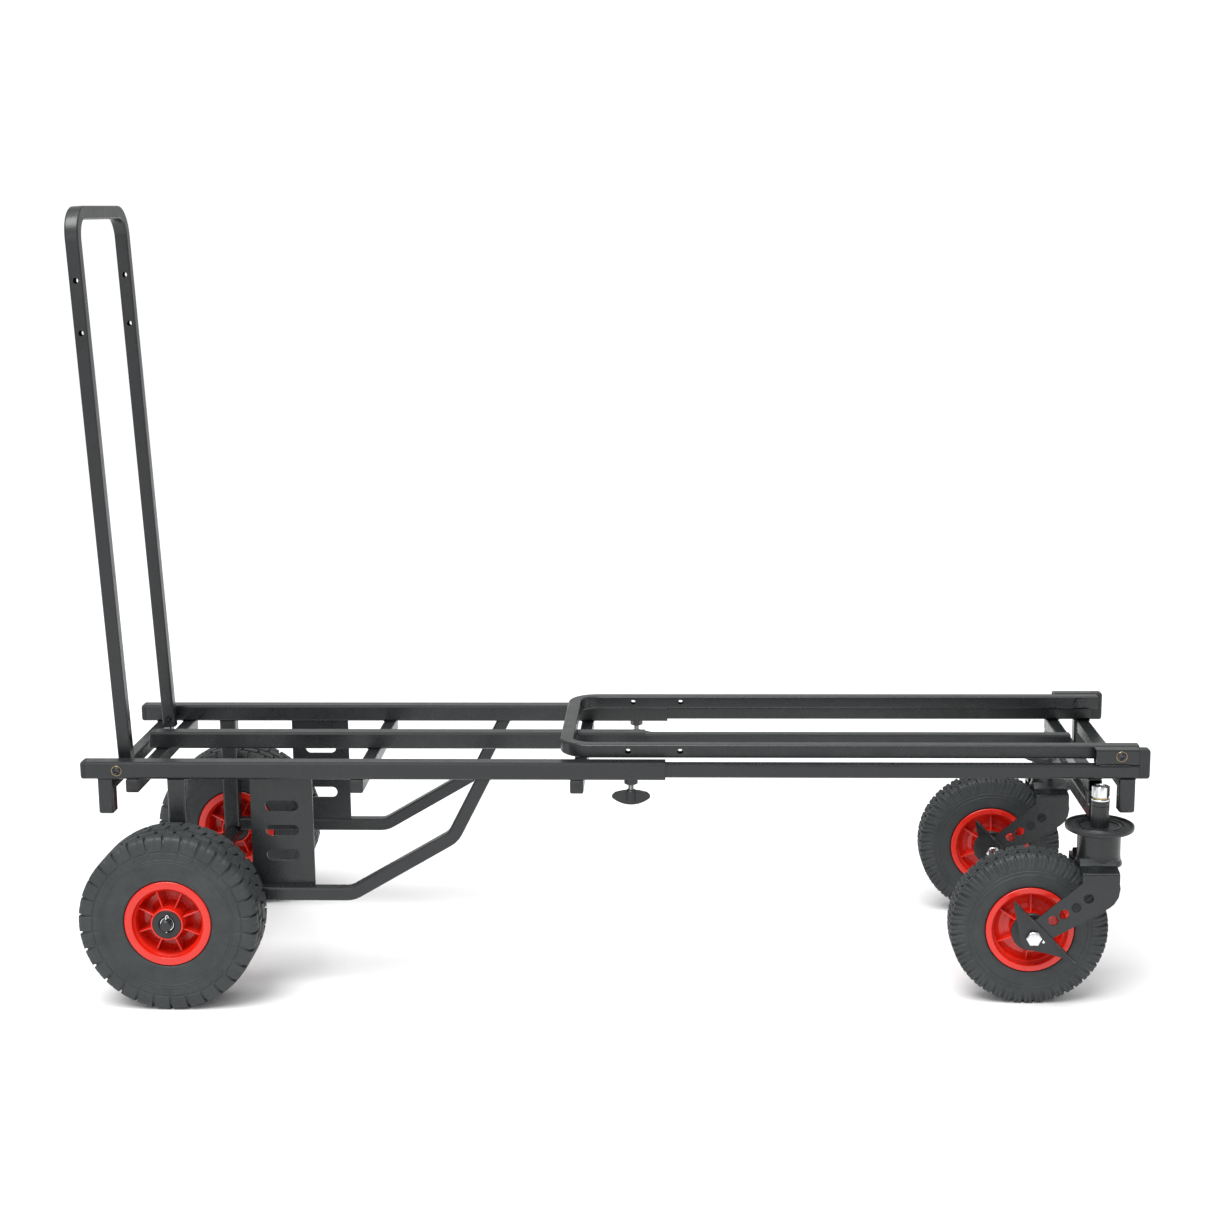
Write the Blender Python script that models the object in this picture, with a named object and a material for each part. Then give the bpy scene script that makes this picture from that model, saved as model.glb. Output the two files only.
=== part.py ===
"""Convertible hand truck: telescoping three-rail bed, two folding handles, axle frame, casters and tyred wheels.

Plan frame: X runs from the rear end cap (0) to the caster end, Z = 0 is the floor, Y = 0 the centre plane.
The empty "hand_truck_origin" moves the plan frame so that the row origin is the bottom centre of the box.
Right is the -Y side and left is the +Y side, seen by somebody who faces the caster end.
"""

import math

import bmesh
import bpy
from mathutils import Matrix, Vector
from mathutils.geometry import tessellate_polygon

# ---- overall -------------------------------------------------------------------------------------
LENGTH = 1.494
GAP = 0.0003
SIDES = (("right", -1.0), ("left", 1.0))

# ---- tube stock ----------------------------------------------------------------------------------
OUTER_TUBE = 0.025
OUTER_WALL = 0.002
OUTER_CORNER = 0.003
INNER_TUBE = 0.019
INNER_WALL = 0.0015
INNER_CORNER = 0.0025
CORNER_STEPS = 2

# ---- outer (rear) frame --------------------------------------------------------------------------
RAIL_Y = 0.1675
RAIL_Z = 0.3235
RAIL_BOTTOM = RAIL_Z - OUTER_TUBE / 2
CAP_LENGTH = 0.0075
OUTER_RAIL_END = 0.827
MIDDLE_RAIL_END = 0.795
MIDDLE_RAIL_CAP = 0.0558
CROSSBAR_Z = 0.3012
CROSSBAR_HALF = 0.1785
CROSSBARS = (("crossbar_rear", 0.0740), ("crossbar_middle", 0.3928), ("crossbar_front", 0.7030))
FOOT = 0.022
FOOT_WALL = 0.002
REAR_FOOT_X = 0.0346
REAR_FOOT_BOTTOM = 0.260

# ---- axle frame ----------------------------------------------------------------------------------
AXLE_X = 0.1355
AXLE_Z = 0.126
AXLE_RADIUS = 0.008
AXLE_HALF = 0.2725
AXLE_TUBE_RADIUS = 0.0125
AXLE_TUBE_HALF = 0.185
POST_X = 0.1359
BRACE_Z = 0.1413
BRACE_POINTS = ((0.1487, 0.1413), (0.3815, 0.1413), (0.5275, 0.2260), (0.5714, 0.3110))
BRACE_BEND = 0.030
PLATE_X = (0.2375, 0.3265)
PLATE_THICKNESS = 0.003
PLATE_Y = 0.1583
SLOT_HALF_LENGTH = 0.024
SLOT_RADIUS = 0.0085
SLOT_HEIGHTS = (0.195, 0.231, 0.267)
PIN_Y = 0.2665
PIN_RADIUS = 0.0010

# ---- handles -------------------------------------------------------------------------------------
REAR_HANDLE_Y = 0.1253
REAR_HANDLE_REACH = 0.785
REAR_HANDLE_TAIL = 0.0125
REAR_HANDLE_HOLES = (0.612, 0.684)
FRONT_HANDLE_Y = 0.145
FRONT_HANDLE_REACH = 0.778
FRONT_HANDLE_TAIL = 0.0285
FRONT_HANDLE_HOLES = (0.607, 0.680)
HANDLE_BEND = 0.0375
HANDLE_HOLE_RADIUS = 0.004
HANDLE_LEAN = math.radians(2.7)
REAR_PIVOT = (0.0525, 0.3235)
FRONT_PIVOT = (1.4545, 0.346)
BOLT_RADIUS = 0.004
BOLT_HEAD = 0.0065
SPACER_RADIUS = 0.0065

# ---- inner (front) frame -------------------------------------------------------------------------
INNER_RAIL_START = 0.620
INNER_MIDDLE_START = 0.640
INNER_MIDDLE_END = 1.416
INNER_RAIL_END = 1.479
UNDER_Z = 0.3041
FRONT_BAR_X = 1.4195
FRONT_BAR_HALF = 0.1765
TIE_BAR_X = 1.4650
TIE_BAR_HALF = 0.1562
BLOCK_START = 1.420
BLOCK_HEIGHT = 0.022
FRONT_FOOT_X = 1.4637
FRONT_FOOT_BOTTOM = 0.266
BEAM_SIZE = 0.022
BEAM_Z = 0.268
BEAM_HALF = 0.179
DROP_POST_Y = 0.163

# ---- casters -------------------------------------------------------------------------------------
SWIVEL_X = 1.425
SWIVEL_Y = 0.189
CASTER_X = 1.330
CASTER_RADIUS = 0.1084
BOSS_RADIUS = 0.0125
BOSS_Z = (0.252, 0.2806)
KINGPIN_RADIUS = 0.006
FORK_RADIUS = 0.0294
FORK_WALL = 0.003
FORK_TOP = 0.246
FOLD_Z = 0.199
LEG_Y = 0.050
LEG_THICKNESS = 0.003
FORK_HOLES = ((1.4035, 0.1635), (1.3869, 0.1508), (1.3712, 0.1408), (1.3565, 0.1317))
FORK_HOLE_RADIUS = 0.0069
CASTER_BOLT_RADIUS = 0.0055

# ---- clamps --------------------------------------------------------------------------------------
CLAMP_X = 0.7787
CLAMP_RADIUS = 0.004

# ---- wheels: half profiles as (radius, offset from the wheel's middle plane) ----------------------
REAR_WHEEL_Y = 0.2235
REAR_RIM = (
    (0.0083, 0.0375), (0.0210, 0.0375), (0.0210, 0.0040), (0.0455, 0.0040),
    (0.0455, 0.0360), (0.0608, 0.0360), (0.0608, 0.0335), (0.0495, 0.0310),
)
REAR_RIBS = 8
REAR_TYRE = (
    (0.0499, 0.0300), (0.0604, 0.0322), (0.0615, 0.0328), (0.0615, 0.0362), (0.0700, 0.0388), (0.1120, 0.0405),
    (0.1200, 0.0398), (0.1245, 0.0375), (0.1260, 0.0330),
)
FRONT_RIM = (
    (0.0058, 0.0494), (0.0100, 0.0494), (0.0100, 0.0330), (0.0225, 0.0330), (0.0225, 0.0040),
    (0.0465, 0.0040), (0.0465, 0.0240), (0.0604, 0.0240), (0.0604, 0.0218), (0.0500, 0.0200),
)
FRONT_RIBS = 6
FRONT_TYRE = (
    (0.0504, 0.0190), (0.0600, 0.0206), (0.0612, 0.0213), (0.0612, 0.0243), (0.0700, 0.0264),
    (0.0900, 0.0264), (0.1065, 0.0235), (0.1084, 0.0185),
)
REAR_RIM_STEPS = 32
FRONT_RIM_STEPS = 36
TYRE_STEPS = 36
RIB_THICKNESS = 0.003


# ---- helpers -------------------------------------------------------------------------------------
def clear_scene():
    for item in list(bpy.data.objects):
        bpy.data.objects.remove(item, do_unlink=True)


def principled(name, color, metallic, roughness):
    result = bpy.data.materials.new(name)
    result.use_nodes = True
    shader = result.node_tree.nodes["Principled BSDF"]
    shader.inputs["Base Color"].default_value = (*color, 1.0)
    shader.inputs["Metallic"].default_value = metallic
    shader.inputs["Roughness"].default_value = roughness
    return result


def solid(vertices, faces):
    """A scratch object from points and faces, with its normals turned outward."""
    mesh = bpy.data.meshes.new("scratch")
    mesh.from_pydata([tuple(v) for v in vertices], [], faces)
    work = bmesh.new()
    work.from_mesh(mesh)
    bmesh.ops.remove_doubles(work, verts=work.verts, dist=1e-7)
    bmesh.ops.recalc_face_normals(work, faces=work.faces)
    work.to_mesh(mesh)
    work.free()
    result = bpy.data.objects.new("scratch", mesh)
    bpy.context.collection.objects.link(result)
    return result


def skin(rings, loop=False):
    """Joins rings of equal point count; a loop closes on itself, otherwise both ends are capped."""
    count = len(rings[0])
    vertices = [point for ring in rings for point in ring]
    faces = []
    spans = len(rings) if loop else len(rings) - 1
    for row in range(spans):
        low = row * count
        high = ((row + 1) % len(rings)) * count
        for k in range(count):
            after = (k + 1) % count
            faces.append((low + k, low + after, high + after, high + k))
    if not loop:
        faces.append(tuple(range(count)))
        faces.append(tuple(range(len(vertices) - count, len(vertices))))
    return solid(vertices, faces)


def place(axis, u, v, w):
    """A point with u and v across the axis and w along it."""
    if axis == "X":
        return Vector((w, u, v))
    if axis == "Y":
        return Vector((u, w, v))
    return Vector((u, v, w))


def circle(radius, steps=18, shift=0.0):
    angles = (2 * math.pi * (k + shift) / steps for k in range(steps))
    return [(radius * math.cos(a), radius * math.sin(a)) for a in angles]


def hexagon(flat_radius, steps=18):
    """Points on a hexagon's outline at even angles, so it skins onto a circle of the same count."""
    result = []
    for k in range(steps):
        angle = 2 * math.pi * k / steps
        within = (angle % (math.pi / 3)) - math.pi / 6
        radius = flat_radius / math.cos(within)
        result.append((radius * math.cos(angle), radius * math.sin(angle)))
    return result


def rounded_rectangle(half_u, half_v, radius, steps=CORNER_STEPS):
    result = []
    for quarter, (su, sv) in enumerate(((1, 1), (-1, 1), (-1, -1), (1, -1))):
        for k in range(steps + 1):
            angle = math.pi / 2 * (quarter + k / steps)
            result.append((
                su * (half_u - radius) + radius * math.cos(angle),
                sv * (half_v - radius) + radius * math.sin(angle),
            ))
    return result


def section_rings(axis, center, sections):
    """Rings (outline, position along the axis) about a centre given as (u, v)."""
    return [
        [place(axis, center[0] + u, center[1] + v, along) for u, v in outline]
        for outline, along in sections
    ]


def rod(axis, center, sections):
    return skin(section_rings(axis, center, sections))


def tube(axis, center, low, high, size, wall, corner, height=None):
    half_u = size / 2
    half_v = (height or size) / 2
    outer = rounded_rectangle(half_u, half_v, corner)
    inner = rounded_rectangle(half_u - wall, half_v - wall, corner - wall * 0.6)
    sections = ((outer, low), (outer, high), (inner, high), (inner, low))
    return skin(section_rings(axis, center, sections), loop=True)


def box_tube(axis, center, low, high):
    return tube(axis, center, low, high, INNER_TUBE, INNER_WALL, INNER_CORNER)


def plate(axis, outline, holes, low, high):
    """A flat plate with holes; the outlines are (u, v) pairs across the axis."""
    loops = [outline] + list(holes)
    flat = [Vector((u, v, 0.0)) for item in loops for u, v in item]
    triangles = tessellate_polygon([[Vector((u, v, 0.0)) for u, v in item] for item in loops])
    count = len(flat)
    vertices = [place(axis, p.x, p.y, low) for p in flat] + [place(axis, p.x, p.y, high) for p in flat]
    faces = [tuple(t) for t in triangles]
    faces += [tuple(index + count for index in reversed(t)) for t in triangles]
    start = 0
    for item in loops:
        for k in range(len(item)):
            first = start + k
            second = start + (k + 1) % len(item)
            faces.append((first, second, second + count, first + count))
        start += len(item)
    return solid(vertices, faces)


def lathe(center, profile, steps=TYRE_STEPS):
    """A ring-shaped solid about a Y axis from a closed (radius, offset) profile."""
    rings = []
    for k in range(steps):
        angle = 2 * math.pi * k / steps
        rings.append([
            Vector((
                center[0] + r * math.cos(angle),
                center[1] + offset,
                center[2] + r * math.sin(angle),
            ))
            for r, offset in profile
        ])
    return skin(rings, loop=True)


def both_halves(profile):
    """A full profile from the half on the +Y side."""
    return list(profile) + [(r, -offset) for r, offset in reversed(profile)]


def combine(target, tool, operation="UNION"):
    """Booleans the tool into the target, and removes the tool."""
    modifier = target.modifiers.new("combine", "BOOLEAN")
    modifier.operation = operation
    modifier.solver = "EXACT"
    modifier.object = tool
    graph = bpy.context.evaluated_depsgraph_get()
    mesh = bpy.data.meshes.new_from_object(target.evaluated_get(graph))
    target.modifiers.clear()
    target.data = mesh
    bpy.data.objects.remove(tool, do_unlink=True)
    return target


def drill(target, axis, center, radius, low, high, steps=12):
    outline = circle(radius, steps, 0.5)
    tool = rod(axis, center, ((outline, low), (outline, high)))
    return combine(target, tool, "DIFFERENCE")


def rounded_path(points, radius, steps):
    """A planar path whose corners are arcs, as (point, tangent) pairs."""
    points = [Vector(p) for p in points]
    first = (points[1] - points[0]).normalized()
    result = [(points[0], first)]
    for before, corner, after in zip(points, points[1:], points[2:]):
        come = (corner - before).normalized()
        leave = (after - corner).normalized()
        turn = come.angle_signed(leave)
        setback = radius * math.tan(abs(turn) / 2)
        start = corner - come * setback
        side = 1.0 if turn < 0 else -1.0
        normal = Vector((-come.y, come.x)) * side
        middle = start + normal * radius
        for k in range(steps + 1):
            angle = abs(turn) * k / steps * side
            spin = Matrix.Rotation(angle, 2)
            result.append((middle + spin @ (start - middle), spin @ come))
    last = (points[-1] - points[-2]).normalized()
    result.append((points[-1], last))
    return result


def sweep(path, outlines, lift):
    """Sweeps one outline, or an outer and an inner one, along a planar path; lift makes the 3-D point."""
    skins = []
    for outline in outlines:
        rings = []
        for point, tangent in path:
            normal = Vector((-tangent.y, tangent.x))
            rings.append([lift(point + normal * u, v) for u, v in outline])
        skins.append(rings)
    if len(skins) == 1:
        return skin(skins[0])
    return skin(skins[0] + list(reversed(skins[1])), loop=True)


# ---- scene ---------------------------------------------------------------------------------------
clear_scene()

PAINT = ("powder_coat", (0.045, 0.050, 0.053), 0.35, 0.42)
STEEL = ("zinc_steel", (0.62, 0.62, 0.60), 1.0, 0.28)
RED = ("rim_red", (0.62, 0.016, 0.020), 0.0, 0.35)
RUBBER = ("tyre_rubber", (0.030, 0.031, 0.032), 0.0, 0.75)
PLASTIC = ("cap_plastic", (0.022, 0.023, 0.024), 0.0, 0.50)

origin = bpy.data.objects.new("hand_truck_origin", None)
origin.location = (-LENGTH / 2, 0.0, 0.0)
bpy.context.collection.objects.link(origin)


def finish(name, item, look, pivot=(0.0, 0.0, 0.0), angle=35.0):
    """Names a piece, gives it its own material and puts its origin on the pivot."""
    item.name = name
    item.data.name = name
    item.data.transform(Matrix.Translation(-Vector(pivot)))
    item.location = pivot
    item.parent = origin
    item.data.materials.clear()
    item.data.materials.append(principled(f"{look[0]}_{name}", *look[1:]))
    item.data.shade_smooth()
    item.data.set_sharp_from_angle(angle=math.radians(angle))
    return item


# ---- outer rails, their caps and crossbars -------------------------------------------------------
def rail_end_cap(y, start):
    """A moulded plug with a rounded head; its head is CAP_LENGTH long and starts at X = start."""
    full = OUTER_TUBE / 2
    plug = full - OUTER_WALL - GAP
    return rod("X", (y, RAIL_Z), (
        (rounded_rectangle(full - 0.0025, full - 0.0025, 0.002), start),
        (rounded_rectangle(full - 0.0006, full - 0.0006, 0.003), start + 0.0012),
        (rounded_rectangle(full, full, OUTER_CORNER), start + 0.003),
        (rounded_rectangle(full, full, OUTER_CORNER), start + CAP_LENGTH - GAP),
        (rounded_rectangle(plug, plug, 0.0015), start + CAP_LENGTH - GAP),
        (rounded_rectangle(plug, plug, 0.0015), start + 0.020),
    ))


for side, sign in SIDES:
    center = (sign * RAIL_Y, RAIL_Z)
    rail = tube("X", center, CAP_LENGTH, OUTER_RAIL_END, OUTER_TUBE, OUTER_WALL, OUTER_CORNER)
    nut = hexagon(0.0082)
    rail = combine(
        rail,
        rod("Z", (CLAMP_X, sign * RAIL_Y), ((nut, RAIL_BOTTOM - 0.0075), (nut, RAIL_BOTTOM + 0.0008))),
    )
    rail = drill(
        rail, "Z", (CLAMP_X, sign * RAIL_Y), CLAMP_RADIUS + 0.0004,
        RAIL_BOTTOM - 0.010, RAIL_BOTTOM + OUTER_WALL + 0.002,
    )
    rail = drill(
        rail, "Y", REAR_PIVOT, BOLT_RADIUS + GAP, sign * RAIL_Y - 0.014, sign * RAIL_Y + 0.014,
    )
    finish(f"outer_rail_{side}", rail, PAINT)

    finish(f"rail_end_cap_{side}", rail_end_cap(sign * RAIL_Y, 0.0), PLASTIC)

finish(
    "outer_rail_middle",
    tube(
        "X", (0.0, RAIL_Z), MIDDLE_RAIL_CAP + CAP_LENGTH, MIDDLE_RAIL_END,
        OUTER_TUBE, OUTER_WALL, OUTER_CORNER,
    ),
    PAINT,
)
finish("rail_end_cap_middle", rail_end_cap(0.0, MIDDLE_RAIL_CAP), PLASTIC)
finish(
    "end_crossbar",
    box_tube("Y", (REAR_FOOT_X, CROSSBAR_Z), -TIE_BAR_HALF, TIE_BAR_HALF),
    PAINT,
)
for name, x in CROSSBARS:
    finish(name, box_tube("Y", (x, CROSSBAR_Z), -CROSSBAR_HALF, CROSSBAR_HALF), PAINT)


def foot_post(x, y, bottom, top):
    """A square post, open at the top and closed by a thick chamfered foot."""
    half = FOOT / 2
    hollow = half - FOOT_WALL
    sections = (
        (rounded_rectangle(half - 0.002, half - 0.002, 0.002), bottom),
        (rounded_rectangle(half, half, 0.003), bottom + 0.002),
        (rounded_rectangle(half, half, 0.003), top),
        (rounded_rectangle(hollow, hollow, 0.0015), top),
        (rounded_rectangle(hollow, hollow, 0.0015), bottom + 0.005),
    )
    return rod("Z", (x, y), sections)


for side, sign in SIDES:
    finish(
        f"rear_foot_{side}",
        foot_post(REAR_FOOT_X, sign * RAIL_Y, REAR_FOOT_BOTTOM, RAIL_BOTTOM - GAP),
        PAINT,
    )

# ---- axle frame ----------------------------------------------------------------------------------
BRACE_SECTIONS = (
    rounded_rectangle(INNER_TUBE / 2, INNER_TUBE / 2, INNER_CORNER),
    rounded_rectangle(INNER_TUBE / 2 - INNER_WALL, INNER_TUBE / 2 - INNER_WALL, 0.0016),
)


def brace_between(y):
    """The bent brace from the axle post up to the rail, cut level under the rail."""
    top = RAIL_BOTTOM - GAP
    path = rounded_path(BRACE_POINTS, BRACE_BEND, 3)
    tangent = path[-1][1]
    last = path[-1][0]

    def lift(point, v):
        if (point - last).dot(tangent) > -1e-6:
            point = point + tangent * ((top - point.y) / tangent.y)
        return Vector((point.x, y + v, point.y))

    return sweep(path, BRACE_SECTIONS, lift)


for side, sign in SIDES:
    post = tube(
        "Z", (POST_X, sign * RAIL_Y), AXLE_Z + AXLE_TUBE_RADIUS + GAP, RAIL_BOTTOM - GAP,
        OUTER_TUBE, OUTER_WALL, OUTER_CORNER,
    )
    finish(f"axle_post_{side}", post, PAINT)
    finish(f"axle_brace_{side}", brace_between(sign * RAIL_Y), PAINT)

    slots = []
    slot_x = sum(PLATE_X) / 2
    for height in SLOT_HEIGHTS:
        slot = []
        for k in range(16):
            angle = 2 * math.pi * (k + 0.5) / 16
            shift = SLOT_HALF_LENGTH - SLOT_RADIUS
            slot.append((
                slot_x + math.copysign(shift, math.cos(angle)) + SLOT_RADIUS * math.cos(angle),
                height + SLOT_RADIUS * math.sin(angle),
            ))
        slots.append(slot)
    low_z = BRACE_Z + INNER_TUBE / 2 + GAP
    high_z = RAIL_BOTTOM - GAP
    outline = [(PLATE_X[0], low_z), (PLATE_X[1], low_z), (PLATE_X[1], high_z), (PLATE_X[0], high_z)]
    low_y, high_y = sorted((sign * PLATE_Y, sign * (PLATE_Y + PLATE_THICKNESS)))
    finish(f"side_plate_{side}", plate("Y", outline, slots, low_y, high_y), PAINT)

AXLE_CENTER = (AXLE_X, AXLE_Z)
bore = AXLE_RADIUS + GAP
finish(
    "axle_tube",
    skin(
        section_rings("Y", AXLE_CENTER, (
            (circle(AXLE_TUBE_RADIUS), -AXLE_TUBE_HALF),
            (circle(AXLE_TUBE_RADIUS), AXLE_TUBE_HALF),
            (circle(bore), AXLE_TUBE_HALF),
            (circle(bore), -AXLE_TUBE_HALF),
        )),
        loop=True,
    ),
    PAINT,
)
axle = rod("Y", AXLE_CENTER, (
    (circle(AXLE_RADIUS - 0.0012), -AXLE_HALF),
    (circle(AXLE_RADIUS), -AXLE_HALF + 0.0012),
    (circle(AXLE_RADIUS), AXLE_HALF - 0.0012),
    (circle(AXLE_RADIUS - 0.0012), AXLE_HALF),
))
for side, sign in SIDES:
    axle = drill(
        axle, "Z", (AXLE_X, sign * PIN_Y), PIN_RADIUS + 0.0005, AXLE_Z - 0.012, AXLE_Z + 0.012,
    )
finish("axle", axle, STEEL)

RING = 0.0018
RING_Z = 0.0125
for side, sign in SIDES:
    path = [(Vector((AXLE_X, AXLE_Z - 0.0105)), Vector((0.0, 1.0)))]
    for k in range(12):
        angle = math.pi - k * math.radians(24.0)
        path.append((
            Vector((AXLE_X + RING + RING * math.cos(angle), AXLE_Z + RING_Z + RING * math.sin(angle))),
            Vector((math.sin(angle), -math.cos(angle))),
        ))

    def pin_point(point, v, y=sign * PIN_Y):
        return Vector((point.x, y + v, point.y))

    finish(f"cotter_pin_{side}", sweep(path, [circle(PIN_RADIUS, 8)], pin_point), STEEL)


# ---- handles -------------------------------------------------------------------------------------
def handle(pivot, tilt, half_width, reach, tail, heights):
    """A bent square-tube bail; it points along +Z before it is tilted about its pivot."""
    top = reach - INNER_TUBE / 2
    corners = ((-half_width, -tail), (-half_width, top), (half_width, top), (half_width, -tail))
    path = rounded_path(corners, HANDLE_BEND, 5)
    body = sweep(path, BRACE_SECTIONS, lambda point, v: Vector((v, point.x, point.y)))
    holes = [(0.0, BOLT_RADIUS + GAP)] + [(height, HANDLE_HOLE_RADIUS) for height in heights]
    for height, radius in holes:
        body = drill(body, "Y", (0.0, height), radius, -0.2, 0.2)
    body.data.transform(Matrix.Rotation(tilt, 4, "Y"))
    body.data.transform(Matrix.Translation((pivot[0], 0.0, pivot[1])))
    return body


rear = handle(
    REAR_PIVOT, -HANDLE_LEAN, REAR_HANDLE_Y, REAR_HANDLE_REACH, REAR_HANDLE_TAIL, REAR_HANDLE_HOLES,
)
finish("rear_handle", rear, PAINT, (REAR_PIVOT[0], 0.0, REAR_PIVOT[1]))
front = handle(
    FRONT_PIVOT, -math.pi / 2, FRONT_HANDLE_Y, FRONT_HANDLE_REACH, FRONT_HANDLE_TAIL, FRONT_HANDLE_HOLES,
)
finish("front_handle", front, PAINT, (FRONT_PIVOT[0], 0.0, FRONT_PIVOT[1]))


def pivot_bolt(pivot, sign, head_at, tip_at, nut_at=None, spacer=None):
    """A round-headed bolt along Y, with its spacer sleeve (outer end, inner end) and its nut when it has them."""
    shank = circle(BOLT_RADIUS)
    head = circle(BOLT_HEAD)
    sections = [
        (circle(BOLT_HEAD - 0.0015), sign * (head_at + 0.0032)),
        (head, sign * (head_at + 0.0018)),
        (head, sign * head_at),
        (shank, sign * head_at),
    ]
    if spacer:
        sleeve = circle(SPACER_RADIUS)
        outer, inner = spacer
        sections += [(shank, sign * outer), (sleeve, sign * outer), (sleeve, sign * inner), (shank, sign * inner)]
    if nut_at:
        nut = hexagon(BOLT_HEAD)
        sections += [(shank, sign * nut_at), (nut, sign * nut_at), (nut, sign * (nut_at - 0.004))]
        sections += [(shank, sign * (nut_at - 0.004))]
    sections.append((shank, sign * tip_at))
    return rod("Y", pivot, sections)


for side, sign in SIDES:
    bolt = pivot_bolt(
        REAR_PIVOT, sign, RAIL_Y + OUTER_TUBE / 2 + GAP, REAR_HANDLE_Y - INNER_TUBE / 2 - 0.0018,
        spacer=(RAIL_Y - OUTER_TUBE / 2 - GAP, REAR_HANDLE_Y + INNER_TUBE / 2 + GAP),
    )
    finish(f"rear_pivot_bolt_{side}", bolt, STEEL)
    bolt = pivot_bolt(FRONT_PIVOT, sign, RAIL_Y + INNER_TUBE / 2 + GAP, 0.1295, nut_at=0.1352)
    finish(f"front_pivot_bolt_{side}", bolt, STEEL)

# ---- inner frame ---------------------------------------------------------------------------------
finish("inner_rail_middle", box_tube("X", (0.0, RAIL_Z), INNER_MIDDLE_START, INNER_MIDDLE_END), PAINT)
INNER_TOP = RAIL_Z + INNER_TUBE / 2
BLOCK_Z = INNER_TOP + GAP + BLOCK_HEIGHT / 2
CAP_LOW = RAIL_Z - INNER_TUBE / 2
CAP_HIGH = BLOCK_Z + BLOCK_HEIGHT / 2
for side, sign in SIDES:
    y = sign * RAIL_Y
    rail = box_tube("X", (y, RAIL_Z), INNER_RAIL_START, INNER_RAIL_END - GAP)
    finish(f"inner_rail_{side}", rail, PAINT)

    block = tube(
        "X", (y, BLOCK_Z), BLOCK_START, INNER_RAIL_END - GAP,
        INNER_TUBE, INNER_WALL, INNER_CORNER, height=BLOCK_HEIGHT,
    )
    block = drill(block, "Y", FRONT_PIVOT, BOLT_RADIUS + GAP, y - 0.012, y + 0.012)
    finish(f"pivot_block_{side}", block, PAINT)

    half_y = INNER_TUBE / 2
    half_z = (CAP_HIGH - CAP_LOW) / 2
    cap = rod("X", (y, (CAP_HIGH + CAP_LOW) / 2), (
        (rounded_rectangle(half_y, half_z, INNER_CORNER), INNER_RAIL_END),
        (rounded_rectangle(half_y, half_z, INNER_CORNER), LENGTH - 0.003),
        (rounded_rectangle(half_y - 0.0008, half_z - 0.0008, INNER_CORNER), LENGTH - 0.001),
        (rounded_rectangle(half_y - 0.0025, half_z - 0.0025, 0.002), LENGTH),
    ))
    finish(f"inner_end_cap_{side}", cap, PLASTIC)

    foot = foot_post(FRONT_FOOT_X, y, FRONT_FOOT_BOTTOM, RAIL_Z - INNER_TUBE / 2 - GAP)
    finish(f"front_foot_{side}", foot, PAINT)

finish(
    "front_crossbar",
    box_tube("Y", (FRONT_BAR_X, UNDER_Z), -FRONT_BAR_HALF, FRONT_BAR_HALF),
    PAINT,
)
finish("front_tie_bar", box_tube("Y", (TIE_BAR_X, UNDER_Z), -TIE_BAR_HALF, TIE_BAR_HALF), PAINT)

beam = tube("Y", (SWIVEL_X - 0.002, BEAM_Z), -BEAM_HALF, BEAM_HALF, BEAM_SIZE, INNER_WALL, INNER_CORNER)
for side, sign in SIDES:
    post = tube(
        "Z", (FRONT_BAR_X, sign * DROP_POST_Y), BEAM_Z + BEAM_SIZE / 2 - 0.001,
        UNDER_Z - INNER_TUBE / 2 - GAP, INNER_TUBE - 0.001, INNER_WALL, INNER_CORNER,
    )
    beam = combine(beam, post)
    boss = circle(BOSS_RADIUS)
    center = (SWIVEL_X, sign * SWIVEL_Y)
    beam = combine(beam, rod("Z", center, ((boss, BOSS_Z[0]), (boss, BOSS_Z[1]))))
    beam = drill(beam, "Z", center, KINGPIN_RADIUS + GAP, BOSS_Z[0] - 0.003, BOSS_Z[1] + 0.003)
finish("caster_beam", beam, PAINT)

# ---- clamp screws --------------------------------------------------------------------------------
WING = (
    (0.0225, 0.2950), (0.0255, 0.2875), (0.0205, 0.2800), (0.0110, 0.2752), (0.0, 0.2738),
    (-0.0110, 0.2752), (-0.0205, 0.2800), (-0.0255, 0.2875), (-0.0225, 0.2950),
    (-0.0130, 0.2895), (0.0, 0.2878), (0.0130, 0.2895),
)
for side, sign in SIDES:
    y = sign * RAIL_Y
    stem = circle(CLAMP_RADIUS)
    collar = circle(0.0068)
    screw = rod("Z", (CLAMP_X, y), (
        (collar, 0.2845), (collar, 0.2950), (stem, 0.2950), (stem, RAIL_Z - INNER_TUBE / 2 - GAP),
    ))
    wing = plate("Y", [(CLAMP_X + u, z) for u, z in WING], [], y - 0.003, y + 0.003)
    finish(f"clamp_screw_{side}", combine(screw, wing), STEEL, (CLAMP_X, y, RAIL_BOTTOM))


# ---- wheels --------------------------------------------------------------------------------------
def rim(center, profile, steps, hub, barrel, ribs, rib_out):
    """A spoked rim: the turned profile plus ribs from the hub to the barrel on both faces."""
    body = lathe(center, both_halves(profile), steps)
    facet = 2 * math.pi / steps
    first = (round(math.pi / ribs / facet) + 0.5) * facet
    for k in range(ribs):
        angle = first + 2 * math.pi * k / ribs
        spoke = plate(
            "Y",
            [(hub - 0.001, -RIB_THICKNESS / 2), (barrel + 0.0015, -RIB_THICKNESS / 2),
             (barrel + 0.0015, RIB_THICKNESS / 2), (hub - 0.001, RIB_THICKNESS / 2)],
            [], -rib_out, rib_out,
        )
        spoke.data.transform(Matrix.Rotation(-angle, 4, "Y"))
        spoke.data.transform(Matrix.Translation(center))
        combine(body, spoke)
    return body


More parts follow.
